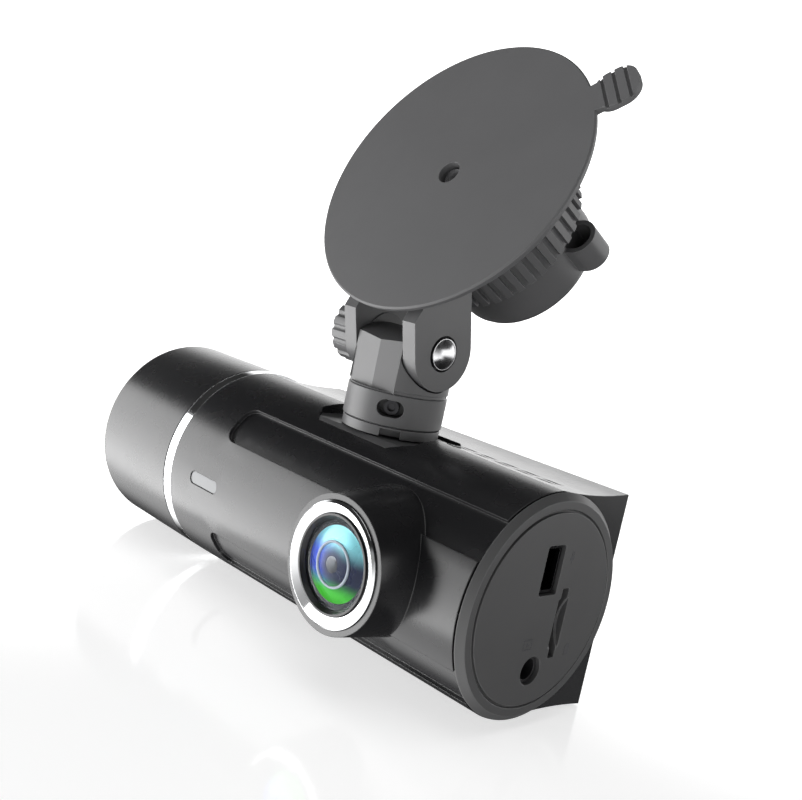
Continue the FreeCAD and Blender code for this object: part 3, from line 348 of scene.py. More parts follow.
@dataclass(frozen=True)
class CoatingReflectionPaint:
    """Coloured reflections of a lens coating, painted into an element's base colour: they run round and down
    the element.

    Attributes:
        centre: Centre of the element's front in the part's frame.
        radius: Radius over which the painted coating reflections run.
        deep: Colour in the middle.
        left: Painted blue reflection on the side away from the port face.
        top: Painted cyan-white highlight at the top.
        foot: Painted green reflection at the bottom.
        pink_reflection: Painted pink reflection in the small spot above the middle.
    """

    centre: Vector
    radius: float
    deep: tuple[float, float, float] = (0.004, 0.010, 0.05)
    left: tuple[float, float, float] = (0.02, 0.10, 0.85)
    top: tuple[float, float, float] = (0.35, 0.92, 0.95)
    foot: tuple[float, float, float] = (0.06, 0.75, 0.02)
    pink_reflection: tuple[float, float, float] = (0.85, 0.30, 0.70)

    def make(self, name: str) -> Material:
        """Build the material.

        Args:
            name: The material's name.

        Returns:
            The finished material.
        """
        material, graph, shader = new_material(name)
        place = graph.add("ShaderNodeTexCoord").outputs["Object"]
        scale = 1.0 / self.radius
        shifted = graph.add("ShaderNodeMapping", Vector=place, Scale=(scale, scale, scale),
                            Location=tuple(-c * scale for c in self.centre)).outputs[0]
        split = graph.add("ShaderNodeSeparateXYZ", Vector=shifted)
        side, height = split.outputs[0], split.outputs[2]
        left = graph.spread(side, 0.25, -0.75, 0.0, 1.0)
        top = graph.spread(height, 0.10, 0.72, 0.0, 1.0)
        foot = graph.spread(height, -0.28, -0.78, 0.0, 1.0)
        across = graph.math("MULTIPLY", side, side)
        upright = graph.math("MULTIPLY", height, height)
        reach = graph.math("SQRT", graph.math("ADD", across, upright))
        rim = graph.spread(reach, 0.18, 0.62, 0.0, 1.0)
        ripple = graph.noise(shifted, 2.2, 1.0)
        colour = rgba(self.deep)
        # The left, top and foot colours are painted reflections of the coating, fixed on the element.
        for share, tint in ((left, self.left), (top, self.top), (foot, self.foot)):
            colour = graph.blend(graph.math("MULTIPLY", share, rim), colour, rgba(tint))
        # A painted pink reflection spot above the middle.
        pink_reflection_reach = graph.add("ShaderNodeVectorMath", {"operation": "DISTANCE"}, i0=shifted,
                          i1=(-0.22, 0.0, 0.42)).outputs["Value"]
        colour = graph.blend(graph.spread(pink_reflection_reach, 0.26, 0.06, 0.0, 0.85), colour, rgba(self.pink_reflection))
        graph.put(shader, "Base Color", colour)
        graph.put(shader, "Metallic", 0.15)
        graph.put(shader, "Roughness", graph.spread(ripple, 0.3, 0.7, 0.26, 0.36))
        graph.put(shader, "Coat Weight", 0.15)
        graph.put(shader, "Coat Roughness", 0.05)
        return material


@dataclass(frozen=True)
class CircuitBoard:
    """Solder mask over copper tracks.

    Attributes:
        colour: Colour of the mask.
        track: Pitch of the tracks in metres.
    """

    colour: tuple[float, float, float] = (0.01, 0.09, 0.04)
    track: float = 0.0008

    def make(self, name: str) -> Material:
        """Build the material.

        Args:
            name: The material's name.

        Returns:
            The finished material.
        """
        material, graph, shader = new_material(name)
        place = graph.add("ShaderNodeTexCoord").outputs["Object"]
        tracks = graph.add("ShaderNodeTexVoronoi", {"distance": "MANHATTAN", "feature": "F1"}, Vector=place,
                           Scale=0.3 / self.track).outputs["Distance"]
        lines = graph.math("SINE", graph.math("MULTIPLY", tracks, 22.0))
        share = graph.spread(lines, 0.2, 0.6, 0.0, 1.0)
        bump = graph.add("ShaderNodeBump", Height=share, Strength=1.0, Distance=0.00002)
        lighter = rgba([min(1.0, c * 2.2) for c in self.colour])
        graph.put(shader, "Base Color", graph.blend(share, rgba(self.colour), lighter))
        graph.put(shader, "Roughness", graph.spread(share, 0.0, 1.0, 0.35, 0.22))
        graph.put(shader, "Normal", bump.outputs[0])
        graph.put(shader, "Coat Weight", 0.4)
        return material


class Finish(Enum):
    """Every finish of the camera, under the material slot that it repaints."""

    CASE_GLOSS = ("case_gloss", Moulding((0.010, 0.010, 0.011), 0.27, depth=0.0000008, mottle=0.02,
                                         edge=0.00022, wear_and_edge_highlight=0.03))
    CASE_SATIN = ("case_satin", Moulding((0.026, 0.026, 0.027), 0.26, depth=0.000001, mottle=0.02,
                                         wear_and_edge_highlight=0.03))
    CAP_SATIN = ("cap_satin", Moulding((0.060, 0.060, 0.061), 0.40, depth=0.000003, mottle=0.03,
                                       edge=0.0002, wear_and_edge_highlight=0.05))
    MOUNT_PLASTIC = ("mount_plastic", Moulding((0.080, 0.080, 0.082), 0.40, depth=0.000004,
                                               mottle=0.05, wear_and_edge_highlight=0.10))
    CUP_RUBBER = ("cup_rubber", Moulding((0.080, 0.080, 0.082), 0.55, depth=0.000003, mottle=0.03,
                                         wear_and_edge_highlight=0.05))
    KEY_PLASTIC = ("key_plastic", Moulding((0.035, 0.035, 0.037), 0.45, depth=0.000004, wear_and_edge_highlight=0.05))
    DARK_WINDOW = ("dark_window", Moulding((0.006, 0.006, 0.008), 0.06, depth=0.0000004, wear_and_edge_highlight=0.02,
                                           coat=1.0))
    LAMP_WINDOW = ("lamp_window", Moulding((0.12, 0.125, 0.13), 0.45, depth=0.000002, wear_and_edge_highlight=0.10, coat=0.3))
    CHIP_BLACK = ("chip_black", Moulding((0.012, 0.012, 0.013), 0.45, depth=0.000005, wear_and_edge_highlight=0.03))
    RING_BLACK = ("dark_window", Moulding((0.006, 0.006, 0.007), 0.42, depth=0.000001, wear_and_edge_highlight=0.02))
    NYLON = ("nylon", Moulding((0.045, 0.045, 0.046), 0.42, depth=0.000004, wear_and_edge_highlight=0.10))
    CELL_WRAP = ("cell_wrap", Moulding((0.03, 0.10, 0.36), 0.22, depth=0.000003, wear_and_edge_highlight=0.08, coat=0.5))
    MARK_WHITE = ("mark_white", Moulding((0.045, 0.045, 0.048), 0.50, depth=0.000002, wear_and_edge_highlight=0.02))
    BRIGHT_TRIM = ("bright_trim", Metal((0.86, 0.87, 0.88), 0.07, depth=0.0000006))
    STEEL = ("steel", Metal((0.60, 0.60, 0.61), 0.24, depth=0.000003))
    # Steel painted nearly black as painted shade inside the sockets and the set screw's hole.
    STEEL_DARKENED_AS_SHADE = ("steel", Metal((0.035, 0.035, 0.037), 0.30, depth=0.000003))
    BRASS = ("brass", Metal((0.78, 0.55, 0.24), 0.22, depth=0.000003))
    LENS_METAL = ("lens_metal", Metal((0.035, 0.035, 0.038), 0.35, depth=0.000002))
    ALUMINIUM = ("aluminium", Metal((0.70, 0.71, 0.72), 0.30, depth=0.000003, axis=(1.0, 1.0, 12.0)))
    BOARD_GREEN = ("board_green", CircuitBoard())
    LENS_GLASS = ("lens_glass", ClearGlass((0.93, 0.96, 1.0)))


class Paint:
    """Makes each finish once and puts it on pieces."""

    def __init__(self) -> None:
        """Start with no material made."""
        self.made: dict[Finish, Material] = {}

    def get(self, finish: Finish) -> Material:
        """Fetch a finish's material, made on first use.

        Args:
            finish: Which finish.

        Returns:
            Its material.
        """
        if finish not in self.made:
            _, recipe = finish.value
            self.made[finish] = recipe.make(finish.name.lower())
        return self.made[finish]

    def dress(self, finish: Finish, *names: str) -> None:
        """Put a finish on CAD nodes.

        Args:
            finish: Which finish.
            names: The nodes.
        """
        material = self.get(finish)
        for name in names:
            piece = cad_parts[name]
            if piece.material_slots:
                for place in piece.material_slots:
                    place.material = material
            else:
                piece.data.materials.append(material)
            LOG.info("finish %s on %s", material.name, name)


PAINT = Paint()


# ---------------------------------------------------------------------- mesh helpers
def finish_piece(piece: Piece, body: str, slot: Finish, replaced: Iterable[str] = ()) -> None:
    """Fix a finished piece to its body and hide the CAD nodes that it stands for.

    Args:
        piece: Object at the origin with its place in its mesh.
        body: Name of the body that it rides on.
        slot: The finish whose slot it would take; not used.
        replaced: CAD nodes that it stands for.
    """
    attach(piece, body)
    for name in replaced:
        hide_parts(name)
    LOG.info("piece %s rides on %s", piece.name, body)


def link_mesh(name: str, mesh: bpy.types.Mesh) -> Piece:
    """Put a mesh in the scene as an object at the origin.

    Args:
        name: The object's name.
        mesh: Its mesh.

    Returns:
        The new object.
    """
    piece = bpy.data.objects.new(name, mesh)
    bpy.context.scene.collection.objects.link(piece)
    return piece


def smooth(mesh: bpy.types.Mesh, degrees: float = 35.0) -> None:
    """Shade smooth, keeping edges sharper than an angle.

    Args:
        mesh: The mesh.
        degrees: Angle above which an edge stays sharp.
    """
    mesh.polygons.foreach_set("use_smooth", [True] * len(mesh.polygons))
    mesh.set_sharp_from_angle(angle=math.radians(degrees))


def turned(name: str, profile: Sequence[tuple[float, float]], place: Matrix, material: Material,
           steps: int = 96) -> Piece:
    """Turn a closed (radius, height) outline about a local Z axis.

    Args:
        name: Piece name.
        profile: Closed outline; points on the axis have radius 0.
        place: Where local Z and the origin go.
        material: The material.
        steps: Segments round the axis.

    Returns:
        The piece, with its place in its mesh.
    """
    work = bmesh.new()
    rings = []
    for radius, height in profile:
        if radius < 1e-9:
            rings.append([work.verts.new((0, 0, height))])
            continue
        angles = [2 * math.pi * k / steps for k in range(steps)]
        rings.append([work.verts.new((radius * math.cos(angle), radius * math.sin(angle), height))
                      for angle in angles])
    for a, b in zip(rings, rings[1:] + rings[:1]):
        if len(a) == 1 and len(b) == 1:
            continue
        for k in range(steps):
            n = (k + 1) % steps
            corners = [a[k % len(a)], a[n % len(a)], b[n % len(b)], b[k % len(b)]]
            unique = list(dict.fromkeys(corners))
            work.faces.new(unique)
    bmesh.ops.recalc_face_normals(work, faces=work.faces)
    mesh = bpy.data.meshes.new(name)
    work.transform(place)
    work.to_mesh(mesh)
    work.free()
    mesh.materials.append(material)
    smooth(mesh)
    return link_mesh(name, mesh)


def towards(axis: Vector, place: Vector) -> Matrix:
    """Matrix that takes local +Z to an axis at a place.

    Args:
        axis: Direction of local Z.
        place: Where the local origin goes.

    Returns:
        The matrix.
    """
    return Matrix.Translation(place) @ axis.to_track_quat("Z", "Y").to_matrix().to_4x4()


# --------------------------------------------------------------------- grown pieces
class Growth(Graph):
    """Geometry Nodes tree with named inputs, grown into one plain mesh."""

    def __init__(self, name: str) -> None:
        """Start an empty tree.

        Args:
            name: The tree's name.
        """
        super().__init__(bpy.data.node_groups.new(name, "GeometryNodeTree"))
        self.tree.interface.new_socket("Geometry", in_out="OUTPUT", socket_type="NodeSocketGeometry")
        self.values: dict[str, object] = {}
        self.places: list[Vector] = []
        self.source = self.tree.nodes.new("NodeGroupInput")

    def points(self, places: Sequence[Vector]) -> Socket:
        """Feed the tree with points to set pieces on; called before the first size.

        Args:
            places: Where the points stand.

        Returns:
            The points' geometry socket.
        """
        self.tree.interface.new_socket("Places", in_out="INPUT", socket_type="NodeSocketGeometry")
        self.places = list(places)
        return self.source.outputs["Places"]

    def size(self, name: str, value: float, kind: str = "NodeSocketFloat") -> Socket:
        """Add a named input.

        Args:
            name: The input's name.
            value: The value that it is set to.
            kind: Socket type.

        Returns:
            Its socket inside the tree.
        """
        item = self.tree.interface.new_socket(name, in_out="INPUT", socket_type=kind)
        self.values[item.identifier] = value
        return self.source.outputs[name]

    def moved(self, geometry: Socket, offset: object) -> Socket:
        """Move geometry by an offset vector or socket."""
        return self.add("GeometryNodeTransform", Geometry=geometry, Translation=offset).outputs[0]

    def raised(self, geometry: Socket, size: object, share: float) -> Socket:
        """Move geometry along local Z by a share of a size."""
        offset = self.add("ShaderNodeCombineXYZ", Z=self.math("MULTIPLY", size, share)).outputs[0]
        return self.moved(geometry, offset)

    def joined(self, parts: Sequence[Socket]) -> Socket:
        """Join several geometries into one."""
        node = self.add("GeometryNodeJoinGeometry")
        for part in parts:
            self.tree.links.new(part, node.inputs[0])
        return node.outputs[0]

    def carved(self, shape: Socket, tools: Sequence[Socket]) -> Socket:
        """Cut several closed meshes out of another."""
        node = self.add("GeometryNodeMeshBoolean", {"operation": "DIFFERENCE"}, i0=shape)
        for tool in tools:
            self.tree.links.new(tool, node.inputs[1])
        return node.outputs[0]

    def grow(self, name: str, geometry: Socket, material: Material,
             place: Matrix, sharp: float = 35.0) -> Piece:
        """End the tree, run it once and keep the result.

        Args:
            name: Piece name.
            geometry: The geometry that the tree ends with.
            material: Material set on all of it.
            place: Where the local frame goes.
            sharp: Angle in degrees above which edges stay sharp.

        Returns:
            The piece, a plain mesh at the origin.
        """
        real = self.add("GeometryNodeRealizeInstances", Geometry=geometry).outputs[0]
        painted = self.add("GeometryNodeSetMaterial", Geometry=real, Material=material).outputs[0]
        end = self.tree.nodes.new("NodeGroupOutput")
        self.tree.links.new(painted, end.inputs[0])
        start = bpy.data.meshes.new(name + "_seed")
        start.from_pydata([tuple(point) for point in self.places], [], [])
        seed = link_mesh(name + "_seed", start)
        modifier = seed.modifiers.new("growth", "NODES")
        modifier.node_group = self.tree
        for identifier, value in self.values.items():
            modifier[identifier] = value
        bpy.context.view_layer.update()
        grown = seed.evaluated_get(bpy.context.evaluated_depsgraph_get())
        mesh = bpy.data.meshes.new_from_object(grown)
        seed.modifiers.remove(modifier)
        bpy.data.objects.remove(seed)
        mesh.name = name
        mesh.transform(place)
        work = bmesh.new()
        work.from_mesh(mesh)
        bmesh.ops.remove_doubles(work, verts=work.verts, dist=1e-7)
        bmesh.ops.recalc_face_normals(work, faces=work.faces)
        work.to_mesh(mesh)
        work.free()
        smooth(mesh, sharp)
        if not mesh.materials:
            mesh.materials.append(material)
        return link_mesh(name, mesh)


def middle(name: str) -> Vector:
    """Centre of a CAD node's box."""
    low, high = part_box(name)
    return (Vector(low) + Vector(high)) / 2


@dataclass(frozen=True)
class ScrewRecipe:
    """Pan-head screw with a cross recess and a cut thread, set on every given point.

    Attributes:
        head_radius: Radius of the head.
        head_height: Height of the head.
        shank_radius: Radius of the shank under the thread.
        length: Length below the head.
        recess: Length of the cross recess.
        slot: Width of the recess as a share of its length.
        turns: Number of thread turns.
        ridge: Radius of the thread's ridge as a share of the shank's radius.
    """

    head_radius: float
    head_height: float
    shank_radius: float
    length: float
    recess: float
    slot: float = 0.22
    turns: float = 10.0
    ridge: float = 0.14

    def grow(self, name: str, places: Sequence[Vector], axis: Vector,
             material: Material) -> Piece:
        """Grow the screws.

        Args:
            name: Piece name.
            places: Centre of each head's underside, in the part's frame.
            axis: Direction from the tip to the head.
            material: The screws' material.

        Returns:
            One piece that holds every screw.
        """
        tree = Growth(name + "_growth")
        turn = towards(axis, Vector((0, 0, 0)))
        back = turn.inverted()
        points = tree.points([back @ place for place in places])
        head_radius = tree.size("Head radius", self.head_radius)
        head_height = tree.size("Head height", self.head_height)
        shank_radius = tree.size("Shank radius", self.shank_radius)
        length = tree.size("Length", self.length)
        recess = tree.size("Recess", self.recess)
        head = tree.add("GeometryNodeMeshCylinder", Vertices=40, Radius=head_radius,
                        Depth=head_height).outputs[0]
        bars = []
        for wide, deep in ((1.0, self.slot), (self.slot, 1.0)):
            size = tree.add("ShaderNodeCombineXYZ", X=tree.math("MULTIPLY", recess, wide),
                            Y=tree.math("MULTIPLY", recess, deep), Z=head_height).outputs[0]
            bar = tree.add("GeometryNodeMeshCube", Size=size).outputs[0]
            bars.append(tree.raised(bar, head_height, 1.1))
        crossed = tree.carved(tree.raised(head, head_height, 0.5), bars)
        shank = tree.add("GeometryNodeMeshCylinder", Vertices=24, Radius=shank_radius,
                         Depth=length).outputs[0]
        spiral = tree.add("GeometryNodeCurveSpiral", Resolution=20, Rotations=self.turns,
                          Start_Radius=shank_radius, End_Radius=shank_radius,
                          Height=tree.math("MULTIPLY", length, 0.8)).outputs[0]
        section = tree.add("GeometryNodeCurvePrimitiveCircle", Resolution=4,
                           Radius=tree.math("MULTIPLY", shank_radius, self.ridge)).outputs[0]
        thread = tree.add("GeometryNodeCurveToMesh", Curve=spiral, Profile_Curve=section,
                          Fill_Caps=True).outputs[0]
        screw = tree.joined([crossed, tree.raised(shank, length, -0.5), tree.raised(thread, length, -0.95)])
        screws = tree.add("GeometryNodeInstanceOnPoints", Points=points, Instance=screw).outputs[0]
        return tree.grow(name, screws, material, turn)


class Sign(Enum):
    """Generic signs: outlines in units of half the sign's height."""

    POWER = "power"
    UP = "up"
    MENU = "menu"
    DOWN = "down"
    CONFIRM = "confirm"
    PLUG = "plug"
    CARD = "card"
    SCREEN = "screen"


@dataclass(frozen=True)
class SignMaker:
    """Thin printed signs made of bars, rings and triangles.

    Attributes:
        thickness: Height of the print above its surface.
        stroke: Width of a drawn line, in units of half the sign's height.
        steps: Segments in a drawn arc.
    """

    thickness: float = 0.03 * MM
    stroke: float = 0.22
    steps: int = 28

    def polygons(self, sign: Sign) -> list[list[tuple[float, float]]]:
        """Flat outlines of a sign.

        Args:
            sign: Which sign.

        Returns:
            Closed polygons.
        """
        w = self.stroke
        bar = self.bar
        shapes: dict[Sign, Callable[[], list]] = {
            Sign.POWER: lambda: self.arc(0.85, 0.85 - w, 125, 415) + [bar(-w / 2, w / 2, 0.15, 1.0)],
            Sign.UP: lambda: [[(-0.8, -0.5), (0.8, -0.5), (0.0, 0.7)]],
            Sign.DOWN: lambda: [[(-0.8, 0.5), (0.0, -0.7), (0.8, 0.5)]],
            Sign.MENU: lambda: [bar(-0.8, 0.8, y - w / 2, y + w / 2) for y in (-0.55, 0.0, 0.55)],
            Sign.CONFIRM: lambda: self.arc(0.8, 0.8 - w, 0, 360) + self.arc(0.3, 0.0, 0, 360),
            Sign.PLUG: lambda: [bar(-0.45, 0.45, -0.5, 0.3), bar(-0.3, -0.12, 0.3, 0.9),
                                bar(0.12, 0.3, 0.3, 0.9), bar(-w / 2, w / 2, -1.0, -0.5)],
            Sign.CARD: lambda: [[(-0.6, -0.9), (0.6, -0.9), (0.6, 0.9), (-0.15, 0.9), (-0.6, 0.45)]],
            Sign.SCREEN: lambda: [bar(-1.0, 1.0, 0.6, 0.6 + w), bar(-1.0, 1.0, -0.6 - w, -0.6),
                                  bar(-1.0, -1.0 + w, -0.6, 0.6), bar(1.0 - w, 1.0, -0.6, 0.6),
                                  [(-0.3, -0.35), (0.4, 0.0), (-0.3, 0.35)]],
        }
        return shapes[sign]()

    def bar(self, x0: float, x1: float, y0: float, y1: float) -> list[tuple[float, float]]:
        """Rectangle between two corners."""
        return [(x0, y0), (x1, y0), (x1, y1), (x0, y1)]

    def arc(self, outer: float, inner: float, start: float, end: float) -> list[list[tuple[float, float]]]:
        """Ring segment as a row of quadrilaterals, or a disc when the inner radius is 0."""
        ways = []
        for k in range(self.steps + 1):
            angle = math.radians(start + (end - start) * k / self.steps)
            ways.append((math.cos(angle), math.sin(angle)))
        pieces = []
        for a, b in zip(ways, ways[1:]):
            quad = [(outer * a[0], outer * a[1]), (outer * b[0], outer * b[1])]
            if inner > 0:
                quad += [(inner * b[0], inner * b[1]), (inner * a[0], inner * a[1])]
            else:
                quad.append((0.0, 0.0))
            pieces.append(quad)
        return pieces

    def make(self, name: str, sign: Sign, centre: Vector, right: Vector, up: Vector, half: float,
             material: Material) -> Piece:
        """Make one sign as a thin raised print.

        Args:
            name: Piece name.
            sign: Which sign.
            centre: Where its middle goes.
            right: Direction of its width.
            up: Direction of its height.
            half: Half of its height.
            material: Its material.

        Returns:
            The piece.
        """
        out = right.cross(up)
        work = bmesh.new()
        for outline in self.polygons(sign):
            low = [work.verts.new(centre + (right * x + up * y) * half) for x, y in outline]
            high = [work.verts.new(v.co + out * self.thickness) for v in low]
            work.faces.new(list(reversed(low)))
            work.faces.new(high)
            for k in range(len(low)):
                n = (k + 1) % len(low)
                work.faces.new([low[k], low[n], high[n], high[k]])
        bmesh.ops.recalc_face_normals(work, faces=work.faces)
        mesh = bpy.data.meshes.new(name)
        work.to_mesh(mesh)
        work.free()
        mesh.materials.append(material)
        return link_mesh(name, mesh)


# --------------------------------------------------------------------- sub-assemblies
@dataclass
class FrontLens:
    """Road-facing lens: glass, coated elements, retaining ring and baffles.

    Attributes:
        element_radius: Radius of the coated element under it.
        element_depth: Depth of the element behind the glass's foremost point.
        element_curve: Radius of the element's front face.
        ring_radius: Radius of the pale retaining ring.
        ring_wire: Radius of the ring's section.
        ring_depth: Depth of the ring behind the glass's foremost point.
        baffles: Number of stepped rings inside the lens barrel.
        baffle_pitch: Distance between those rings.
        baffle_radius: Radius of those rings.
        baffle_depth: Depth of the first one behind the glass's foremost point.
    """

    element_radius: float = 6.0 * MM
    element_depth: float = 1.5 * MM
    element_curve: float = 16 * MM
    ring_radius: float = 3.5 * MM
    ring_wire: float = 0.22 * MM
    ring_depth: float = 1.78 * MM
    baffles: int = 6
    baffle_pitch: float = 1.2 * MM
    baffle_radius: float = 4.5 * MM
    baffle_depth: float = 5.0 * MM

    def build(self) -> None:
        """Dress the bezel and glass and make the elements behind it."""
        PAINT.dress(Finish.BRIGHT_TRIM, "lens_bezel")
        PAINT.dress(Finish.RING_BLACK, "lens_inner_ring")
        PAINT.dress(Finish.LENS_METAL, "lens_barrel")
        PAINT.dress(Finish.LENS_GLASS, "lens_glass")
        PAINT.dress(Finish.BOARD_GREEN, "sensor_board")
        PAINT.dress(Finish.CHIP_BLACK, "image_sensor")
        low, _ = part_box("lens_glass")
        front = middle("lens_glass")
        front.y = low[1]
        self.element(front)
        self.retaining_ring(front)
        self.baffle_rings(front)

    def element(self, front: Vector) -> None:
        """Make the coated meniscus that carries the lens's painted coating reflections.

        Args:
            front: Foremost point of the glass.
        """
        # The element's colours are painted reflections of its coating.
        painted_reflections = CoatingReflectionPaint(front, self.element_radius).make("lens_painted_reflections")
        depth = self.element_depth
        curve = self.element_curve
        outline = []
        for step in range(13):
            radius = self.element_radius * step / 12
            outline.append((radius, -depth - curve + math.sqrt(curve * curve - radius * radius)))
        back = outline[-1][1] - 0.5 * MM
        outline += [(self.element_radius, back), (0.0, back)]
        piece = turned("lens_front_element", outline, towards(Vector((0, -1, 0)), front), painted_reflections)
        finish_piece(piece, "camera", Finish.LENS_GLASS, ["lens_optics"])
        iris = [(0.0, -depth + 0.12 * MM), (0.9 * MM, -depth + 0.05 * MM), (1.4 * MM, -depth - 0.08 * MM),
                (1.4 * MM, -depth - 0.5 * MM), (0.0, -depth - 0.5 * MM)]
        dark = PAINT.get(Finish.DARK_WINDOW)
        pupil = turned("lens_pupil", iris, towards(Vector((0, -1, 0)), front), dark)
        finish_piece(pupil, "camera", Finish.DARK_WINDOW)

    def retaining_ring(self, front: Vector) -> None:
        """Make the thin pale ring that shows through the glass.

        Args:
            front: Foremost point of the glass.
        """
        tree = Growth("retaining_ring_growth")
        radius = tree.size("Radius", self.ring_radius)
        thick = tree.size("Thickness", self.ring_wire)
        path = tree.add("GeometryNodeCurvePrimitiveCircle", Resolution=96, Radius=radius).outputs[0]
        section = tree.add("GeometryNodeCurvePrimitiveCircle", Resolution=10, Radius=thick).outputs[0]
        ring = tree.add("GeometryNodeCurveToMesh", Curve=path, Profile_Curve=section).outputs[0]
        pale = Moulding((0.55, 0.60, 0.66), 0.35, depth=0.0000005).make("retaining_ring_pale")
        place = towards(Vector((0, -1, 0)), front + Vector((0, self.ring_depth, 0)))
        finish_piece(tree.grow("lens_retaining_ring", ring, pale, place), "camera", Finish.LAMP_WINDOW)

    def baffle_rings(self, front: Vector) -> None:
        """Make the stepped light-trap rings inside the lens barrel.

        Args:
            front: Foremost point of the glass.
        """
        tree = Growth("baffle_growth")
        count = tree.size("Count", self.baffles, "NodeSocketInt")
        pitch = tree.size("Pitch", self.baffle_pitch)
        radius = tree.size("Radius", self.baffle_radius)
        line = tree.add("GeometryNodeMeshLine", Count=count, Offset=(0.0, 0.0, 0.0)).outputs[0]
        index = tree.add("GeometryNodeInputIndex").outputs[0]
        drop = tree.math("MULTIPLY", index, tree.math("MULTIPLY", pitch, -1.0))
        offset = tree.add("ShaderNodeCombineXYZ", Z=drop).outputs[0]
        points = tree.add("GeometryNodeSetPosition", Geometry=line, Offset=offset).outputs[0]
        path = tree.add("GeometryNodeCurvePrimitiveCircle", Resolution=64, Radius=radius).outputs[0]
        section = tree.add("GeometryNodeCurvePrimitiveCircle", Resolution=8, Radius=0.3 * MM).outputs[0]
        ring = tree.add("GeometryNodeCurveToMesh", Curve=path, Profile_Curve=section).outputs[0]
        rings = tree.add("GeometryNodeInstanceOnPoints", Points=points, Instance=ring).outputs[0]
        place = towards(Vector((0, -1, 0)), front + Vector((0, self.baffle_depth, 0)))
        piece = tree.grow("lens_baffles", rings, PAINT.get(Finish.LENS_METAL), place)
        finish_piece(piece, "camera", Finish.LENS_METAL)


@dataclass
class Housing:
    """Main barrel, screen housing, port cap, trims and keys.

    Attributes:
        keys: Keys beside the screen, from the top down.
        key_signs: Sign printed on each key.
        key_sign_half: Half the height of a key's sign.
        port_signs: Piece name, sign, and place of each sign on the port face, in millimetres
            from the barrel's axis along Y and Z.
        port_sign_half: Half the height of a sign on the port face.
    """

    keys: tuple[str, ...] = ("key_power", "key_up", "key_menu", "key_down", "key_confirm")
    key_signs: tuple[Sign, ...] = (Sign.POWER, Sign.UP, Sign.MENU, Sign.DOWN, Sign.CONFIRM)
    key_sign_half: float = 1.0 * MM
    port_signs: tuple[tuple[str, Sign, float, float], ...] = (
        ("port_sign_power", Sign.PLUG, 4.3, 8.4),
        ("port_sign_card", Sign.CARD, 8.6, -7.6),
        ("port_sign_video", Sign.SCREEN, -2.2, -5.6),
    )
    port_sign_half: float = 1.1 * MM

    def build(self) -> None:
        """Dress the shells and make the marks on the port face and keys."""
        PAINT.dress(Finish.CASE_GLOSS, "front_shell", "cabin_shell")
        PAINT.dress(Finish.CASE_SATIN, "rear_shell")
        PAINT.dress(Finish.CAP_SATIN, "port_cap")
        PAINT.dress(Finish.BRIGHT_TRIM, "ring_trim")
        PAINT.dress(Finish.LAMP_WINDOW, "indicator_window")
        PAINT.dress(Finish.DARK_WINDOW, "screen_window")
        PAINT.dress(Finish.MOUNT_PLASTIC, "seat_plate")
        PAINT.dress(Finish.MARK_WHITE, "lock_mark")
        PAINT.dress(Finish.KEY_PLASTIC, *self.keys)
        self.print_key_signs()
        self.print_port_signs()

    def print_key_signs(self) -> None:
        """Print a generic sign on each key."""
        pale = Moulding((0.42, 0.43, 0.44), 0.45, depth=0.0000008, wear_and_edge_highlight=0.02).make("key_print")
        right, up = Vector((-1, 0, 0)), Vector((0, 0, 1))
        for name, sign in zip(self.keys, self.key_signs):
            _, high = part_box(name)
            centre = middle(name)
            centre.y = high[1]
            piece = SignMaker().make(name + "_sign", sign, centre, right, up, self.key_sign_half, pale)
            finish_piece(piece, name, Finish.MARK_WHITE)

    def print_port_signs(self) -> None:
        """Print a generic sign beside each opening of the port face."""
        _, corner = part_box("port_cap")
        axis = middle("ring_trim")
        dark = PAINT.get(Finish.MARK_WHITE)
        right, up = Vector((0, 1, 0)), Vector((0, 0, 1))
        for name, sign, y, z in self.port_signs:
            centre = Vector((corner[0], axis.y + y * MM, axis.z + z * MM))
            piece = SignMaker().make(name, sign, centre, right, up, self.port_sign_half, dark)
            finish_piece(piece, "camera", Finish.MARK_WHITE)


@dataclass
class Electronics:
    """Boards, sockets, cells, sounders and screws inside the barrel.

    Attributes:
        screw_head: Head radius of the screws that close the housing.
        screw_height: Height of their heads.
        screw_shank: Radius of their shanks.
        screw_recess: Length of their cross recesses.
    """

    screw_head: float = 1.95 * MM
    screw_height: float = 1.2 * MM
    screw_shank: float = 0.75 * MM
    screw_recess: float = 2.2 * MM

    def build(self) -> None:
        """Dress every inner piece."""
        PAINT.dress(Finish.STEEL, "key_switches", "board_screws")
        PAINT.dress(Finish.CHIP_BLACK, "board_chips", "video_jack", "speaker")
        # Painted shade: the sockets' steel is darkened to stand for the shade inside them.
        PAINT.dress(Finish.STEEL_DARKENED_AS_SHADE, "power_socket", "card_socket")
        PAINT.dress(Finish.BOARD_GREEN, "main_board", "key_board", "cabin_board")
        PAINT.dress(Finish.ALUMINIUM, "heat_spreader", "microphone", "screen_module")
        self.case_screws()
        PAINT.dress(Finish.CELL_WRAP, "backup_cells")
        PAINT.dress(Finish.NYLON, "link_cable", "pivot_bush")

    def case_screws(self) -> None:
        """Grow the four screws that close the housing."""
        low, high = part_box("case_screws")
        head = self.screw_head
        under = high[1] - self.screw_height
        places = []
        for x in (low[0] + head, high[0] - head):
            places += [Vector((x, under, z)) for z in (low[2] + head, high[2] - head)]
        recipe = ScrewRecipe(head, self.screw_height, self.screw_shank, under - low[1], self.screw_recess)
        piece = recipe.grow("case_screws_cut", places, Vector((0, 1, 0)), PAINT.get(Finish.STEEL))
        finish_piece(piece, "camera", Finish.STEEL, ["case_screws"])


